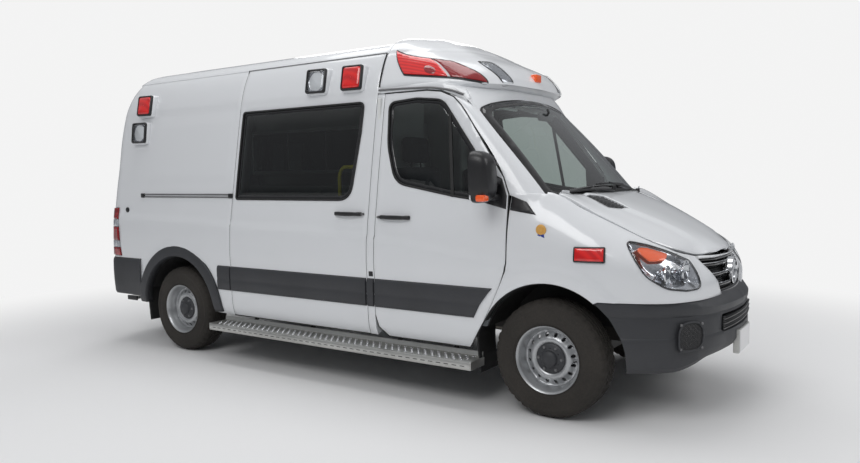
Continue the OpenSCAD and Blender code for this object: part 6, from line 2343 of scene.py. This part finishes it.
@dataclass
class LoadSpace:
    """Bench, cabinets, poles and bulkhead of the load space."""

    def build(self) -> None:
        """Builds what shows through the windows and the open doors."""
        Cushion("bench_seat", (-4.28, 0.33, 0.98), (-3.07, 0.86, 1.10), VINYL, RIGHT).build()
        Cushion("bench_back", (-4.28, 0.80, 1.18), (-3.07, 0.885, 1.50), VINYL, RIGHT).build()
        tops = [dressed(block("shelf", (-4.30, 0.34, 0.90), (-3.05, 0.925, 0.985), 0.01, RIGHT), LAMINATE),
                dressed(block("worktop", (-4.30, 0.46, 1.0), (-2.10, 0.90, 1.50), 0.012), LAMINATE)]
        parts = [*tops, dressed(block("box", (-4.30, 0.34, 0.615), (-3.05, 0.585, 0.985), 0.012, RIGHT),
                                LAMINATE),
                 dressed(block("low", (-4.30, 0.46, 0.615), (-2.10, 0.585, 1.50), 0.012), LAMINATE),
                 dressed(block("high", (-4.30, 0.52, 1.62), (-2.10, 0.84, 2.10), 0.012), LAMINATE)]
        for k in range(4):
            x = -4.27 + 0.545 * k
            parts.append(dressed(block("door", (x, 0.452, 0.70), (x + 0.52, 0.464, 1.45), 0.004), PLATE))
            parts.append(dressed(block("knob", (x + 0.44, 0.436, 1.30), (x + 0.50, 0.454, 1.325), 0.004),
                                 CASTING))
            parts.append(dressed(block("pane", (x, 0.512, 1.66), (x + 0.52, 0.524, 2.06), 0.004), SIDE_GLASS))
        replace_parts(finish_piece(joined("cabinets", parts), LAMINATE), "care_fittings")
        pole = tube("green_pole", [(-1.95, -0.10, 0.61), (-1.95, -0.10, 2.56)], 0.017)
        finish_piece(pole, GREEN)
        rail = [(-1.72, -0.62, 1.12), (-1.72, -0.62, 1.55), (-1.78, -0.62, 1.66), (-1.98, -0.62, 1.66),
                (-2.02, -0.62, 1.60), (-2.02, -0.62, 1.12)]
        finish_piece(tube("yellow_rail", rail, 0.016), YELLOW)
        overhead = tube("overhead_rail", [(-4.2, -0.2, 2.52), (-4.2, -0.2, 2.46), (-1.7, -0.2, 2.46),
                                          (-1.7, -0.2, 2.52)], 0.016)
        finish_piece(overhead, CHROME)
        lamps = [block("lamp", (x, -0.22, 2.585), (x + 0.5, 0.22, 2.60), 0.006) for x in (-4.1, -3.2, -2.3)]
        finish_piece(joined("ceiling_lamps", [dressed(p, PLATE) for p in lamps]), PLATE)
        for number, (y0, y1) in enumerate(((-0.86, -0.285), (0.285, 0.86))):
            wall = block(f"bulkhead_wall_{number}", (-1.424, min(y0, y1), 0.62), (-1.396, max(y0, y1), 2.16),
                         0.008)
            finish_piece(wall, LAMINATE)
        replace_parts(bpy.data.objects["bulkhead_wall_0"], "bulkhead")
        log.info("load space")


# ---------- kept frame pieces ----------
KEPT = {
    "floor": SHEET, "chassis_frame": CHASSIS, "engine": CASTING, "fuel_tank": TRIM, "exhaust": PIPE,
    "front_axle": CHASSIS, "rear_axle": CHASSIS, "left_knuckle": CASTING, "right_knuckle": CASTING,
    "wheel_housings": RUBBER,
}


def dress_frame() -> None:
    """Gives the frame nodes that stay in view their materials."""
    for name, finish in KEPT.items():
        node = frame["nodes"][name]
        node.data.materials.clear()
        node.data.materials.append(finish.material())


# ---------- studio ----------
@dataclass
class Studio:
    """Pale floor, soft lights and the camera."""

    def build(self) -> None:
        """Sets the picture up."""
        self.floor()
        self.world()
        self.lights()
        self.camera()
        bpy.context.scene.view_settings.view_transform = "Standard"

    @staticmethod
    def floor() -> None:
        """A wide pale floor."""
        bm = bmesh.new()
        bmesh.ops.create_grid(bm, x_segments=8, y_segments=8, size=60)
        obj = from_bmesh("studio_floor", bm)
        made = bpy.data.materials.new("studio_floor")
        made.use_nodes = True
        nodes, links = made.node_tree.nodes, made.node_tree.links
        shader = nodes["Principled BSDF"]
        shader.inputs["Roughness"].default_value = 0.75
        shader.inputs["Specular IOR Level"].default_value = 0.15
        noise = nodes.new("ShaderNodeTexNoise")
        noise.inputs["Scale"].default_value = 0.4
        colours = nodes.new("ShaderNodeValToRGB")
        colours.color_ramp.elements[0].color = (0.80, 0.80, 0.80, 1)
        colours.color_ramp.elements[1].color = (0.84, 0.84, 0.84, 1)
        links.new(noise.outputs["Fac"], colours.inputs["Fac"])
        links.new(colours.outputs["Color"], shader.inputs["Base Color"])
        Studio.fade(made, shader)
        obj.data.materials.append(made)
        bpy.context.scene.collection.objects.link(obj)

    @staticmethod
    def fade(made: bpy.types.Material, shader: bpy.types.ShaderNode) -> None:
        """Lets the floor pass into the plain background away from the vehicle."""
        nodes, links = made.node_tree.nodes, made.node_tree.links
        place = nodes.new("ShaderNodeTexCoord")
        far = nodes.new("ShaderNodeVectorMath")
        far.operation = "LENGTH"
        links.new(place.outputs["Object"], far.inputs[0])
        reach = nodes.new("ShaderNodeMapRange")
        reach.interpolation_type = "SMOOTHSTEP"
        reach.inputs["From Min"].default_value = 3.4
        reach.inputs["From Max"].default_value = 6.5
        links.new(far.outputs["Value"], reach.inputs["Value"])
        rays = nodes.new("ShaderNodeLightPath")
        share = nodes.new("ShaderNodeMath")
        share.operation = "MULTIPLY"
        links.new(reach.outputs["Result"], share.inputs[0])
        links.new(rays.outputs["Is Camera Ray"], share.inputs[1])
        plain = nodes.new("ShaderNodeEmission")
        plain.inputs["Color"].default_value = (0.90, 0.90, 0.90, 1)
        mix = nodes.new("ShaderNodeMixShader")
        links.new(share.outputs[0], mix.inputs["Fac"])
        links.new(shader.outputs["BSDF"], mix.inputs[1])
        links.new(plain.outputs["Emission"], mix.inputs[2])
        links.new(mix.outputs["Shader"], nodes["Material Output"].inputs["Surface"])

    @staticmethod
    def world() -> None:
        """Pale background to the camera, a graded soft sky to the paint."""
        world = bpy.data.worlds.new("studio")
        bpy.context.scene.world = world
        world.use_nodes = True
        nodes, links = world.node_tree.nodes, world.node_tree.links
        nodes.clear()
        out = nodes.new("ShaderNodeOutputWorld")
        place = nodes.new("ShaderNodeTexCoord")
        split = nodes.new("ShaderNodeSeparateXYZ")
        links.new(place.outputs["Generated"], split.inputs["Vector"])
        grade = nodes.new("ShaderNodeValToRGB")
        grade.color_ramp.elements[0].position = 0.0
        grade.color_ramp.elements[0].color = (0.16, 0.17, 0.19, 1)
        grade.color_ramp.elements[1].position = 0.65
        grade.color_ramp.elements[1].color = (0.80, 0.81, 0.83, 1)
        links.new(split.outputs["Z"], grade.inputs["Fac"])
        soft = nodes.new("ShaderNodeBackground")
        soft.inputs["Strength"].default_value = 0.62
        links.new(grade.outputs["Color"], soft.inputs["Color"])
        plain = nodes.new("ShaderNodeBackground")
        plain.inputs["Color"].default_value = (0.90, 0.90, 0.90, 1)
        plain.inputs["Strength"].default_value = 1.0
        rays = nodes.new("ShaderNodeLightPath")
        mix = nodes.new("ShaderNodeMixShader")
        links.new(rays.outputs["Is Camera Ray"], mix.inputs["Fac"])
        links.new(soft.outputs["Background"], mix.inputs[1])
        links.new(plain.outputs["Background"], mix.inputs[2])
        links.new(mix.outputs["Shader"], out.inputs["Surface"])

    @staticmethod
    def lights() -> None:
        """Four broad area lights, overhead, in front and at the sides."""
        rows = [((1.5, -7.0, 6.5), (0.0, 0.0, 1.2), 5.0, 3.0, 190),
                ((8.0, 1.5, 5.5), (1.5, 0.0, 1.0), 4.0, 3.0, 130),
                ((-1.0, 0.0, 7.5), (-1.0, 0.0, 0.0), 7.0, 3.5, 170),
                ((-5.0, 6.5, 5.0), (-1.0, 0.0, 1.2), 4.0, 3.0, 100)]
        for number, (where, aim, wide, high, power) in enumerate(rows):
            lamp = bpy.data.lights.new(f"soft_light_{number}", "AREA")
            lamp.shape, lamp.size, lamp.size_y, lamp.energy = "RECTANGLE", wide, high, power
            obj = bpy.data.objects.new(f"soft_light_{number}", lamp)
            obj.location = where
            obj.rotation_euler = (Vector(aim) - Vector(where)).to_track_quat("-Z", "Y").to_euler()
            bpy.context.scene.collection.objects.link(obj)

    @staticmethod
    def camera() -> None:
        """The camera, a little above the bonnet's height, off the right front corner."""
        data = bpy.data.cameras.new("camera")
        data.sensor_width = 36
        data.lens = 30.56
        obj = bpy.data.objects.new("camera", data)
        ahead = Vector((-0.55884, 0.82592, -0.07449))
        across = Vector((0.82870, 0.55953, -0.01315))
        up = across.cross(ahead)
        obj.matrix_world = Matrix.Translation((AXLE_X + 1.9722, -5.2016, 1.5700)) @ Matrix(
            (across, up, -ahead)).transposed().to_4x4()
        bpy.context.scene.collection.objects.link(obj)
        bpy.context.scene.camera = obj


def main() -> None:
    """Builds every assembly in order, then the studio."""
    logging.basicConfig(level=logging.INFO, format="%(name)s: %(message)s")
    dress_frame()
    BodyShell().build()
    SideDoors().build()
    RearDoors().build()
    SideStrips().build()
    Nose().build()
    CabFront().build()
    for side, word in ((RIGHT, "right"), (LEFT, "left")):
        Mirror(side, word).build()
        TailLamp(side, word).build()
    RoofCap().build()
    for side, word in ((RIGHT, "right"), (LEFT, "left")):
        SidePod(f"pod_front_{word}", side, (-2.05, 2.338), 10, LAMP_CLEAR).build()
        SidePod(f"pod_red_{word}", side, (-1.68, 2.334), 10, RED).build()
        SidePod(f"pod_rear_red_{word}", side, (-4.30, 2.284), 10, RED).build()
        SidePod(f"pod_rear_{word}", side, (-4.31, 2.026), 6, LAMP_CLEAR).build()
    Steps().build()
    for name in ("front_left", "front_right", "rear_left", "rear_right"):
        Wheel(name, 0.0 if "front" in name else REAR_X, LEFT if "left" in name else RIGHT).build()
    Cab().build()
    LoadSpace().build()
    Studio().build()


if __name__ == "__main__":
    main()
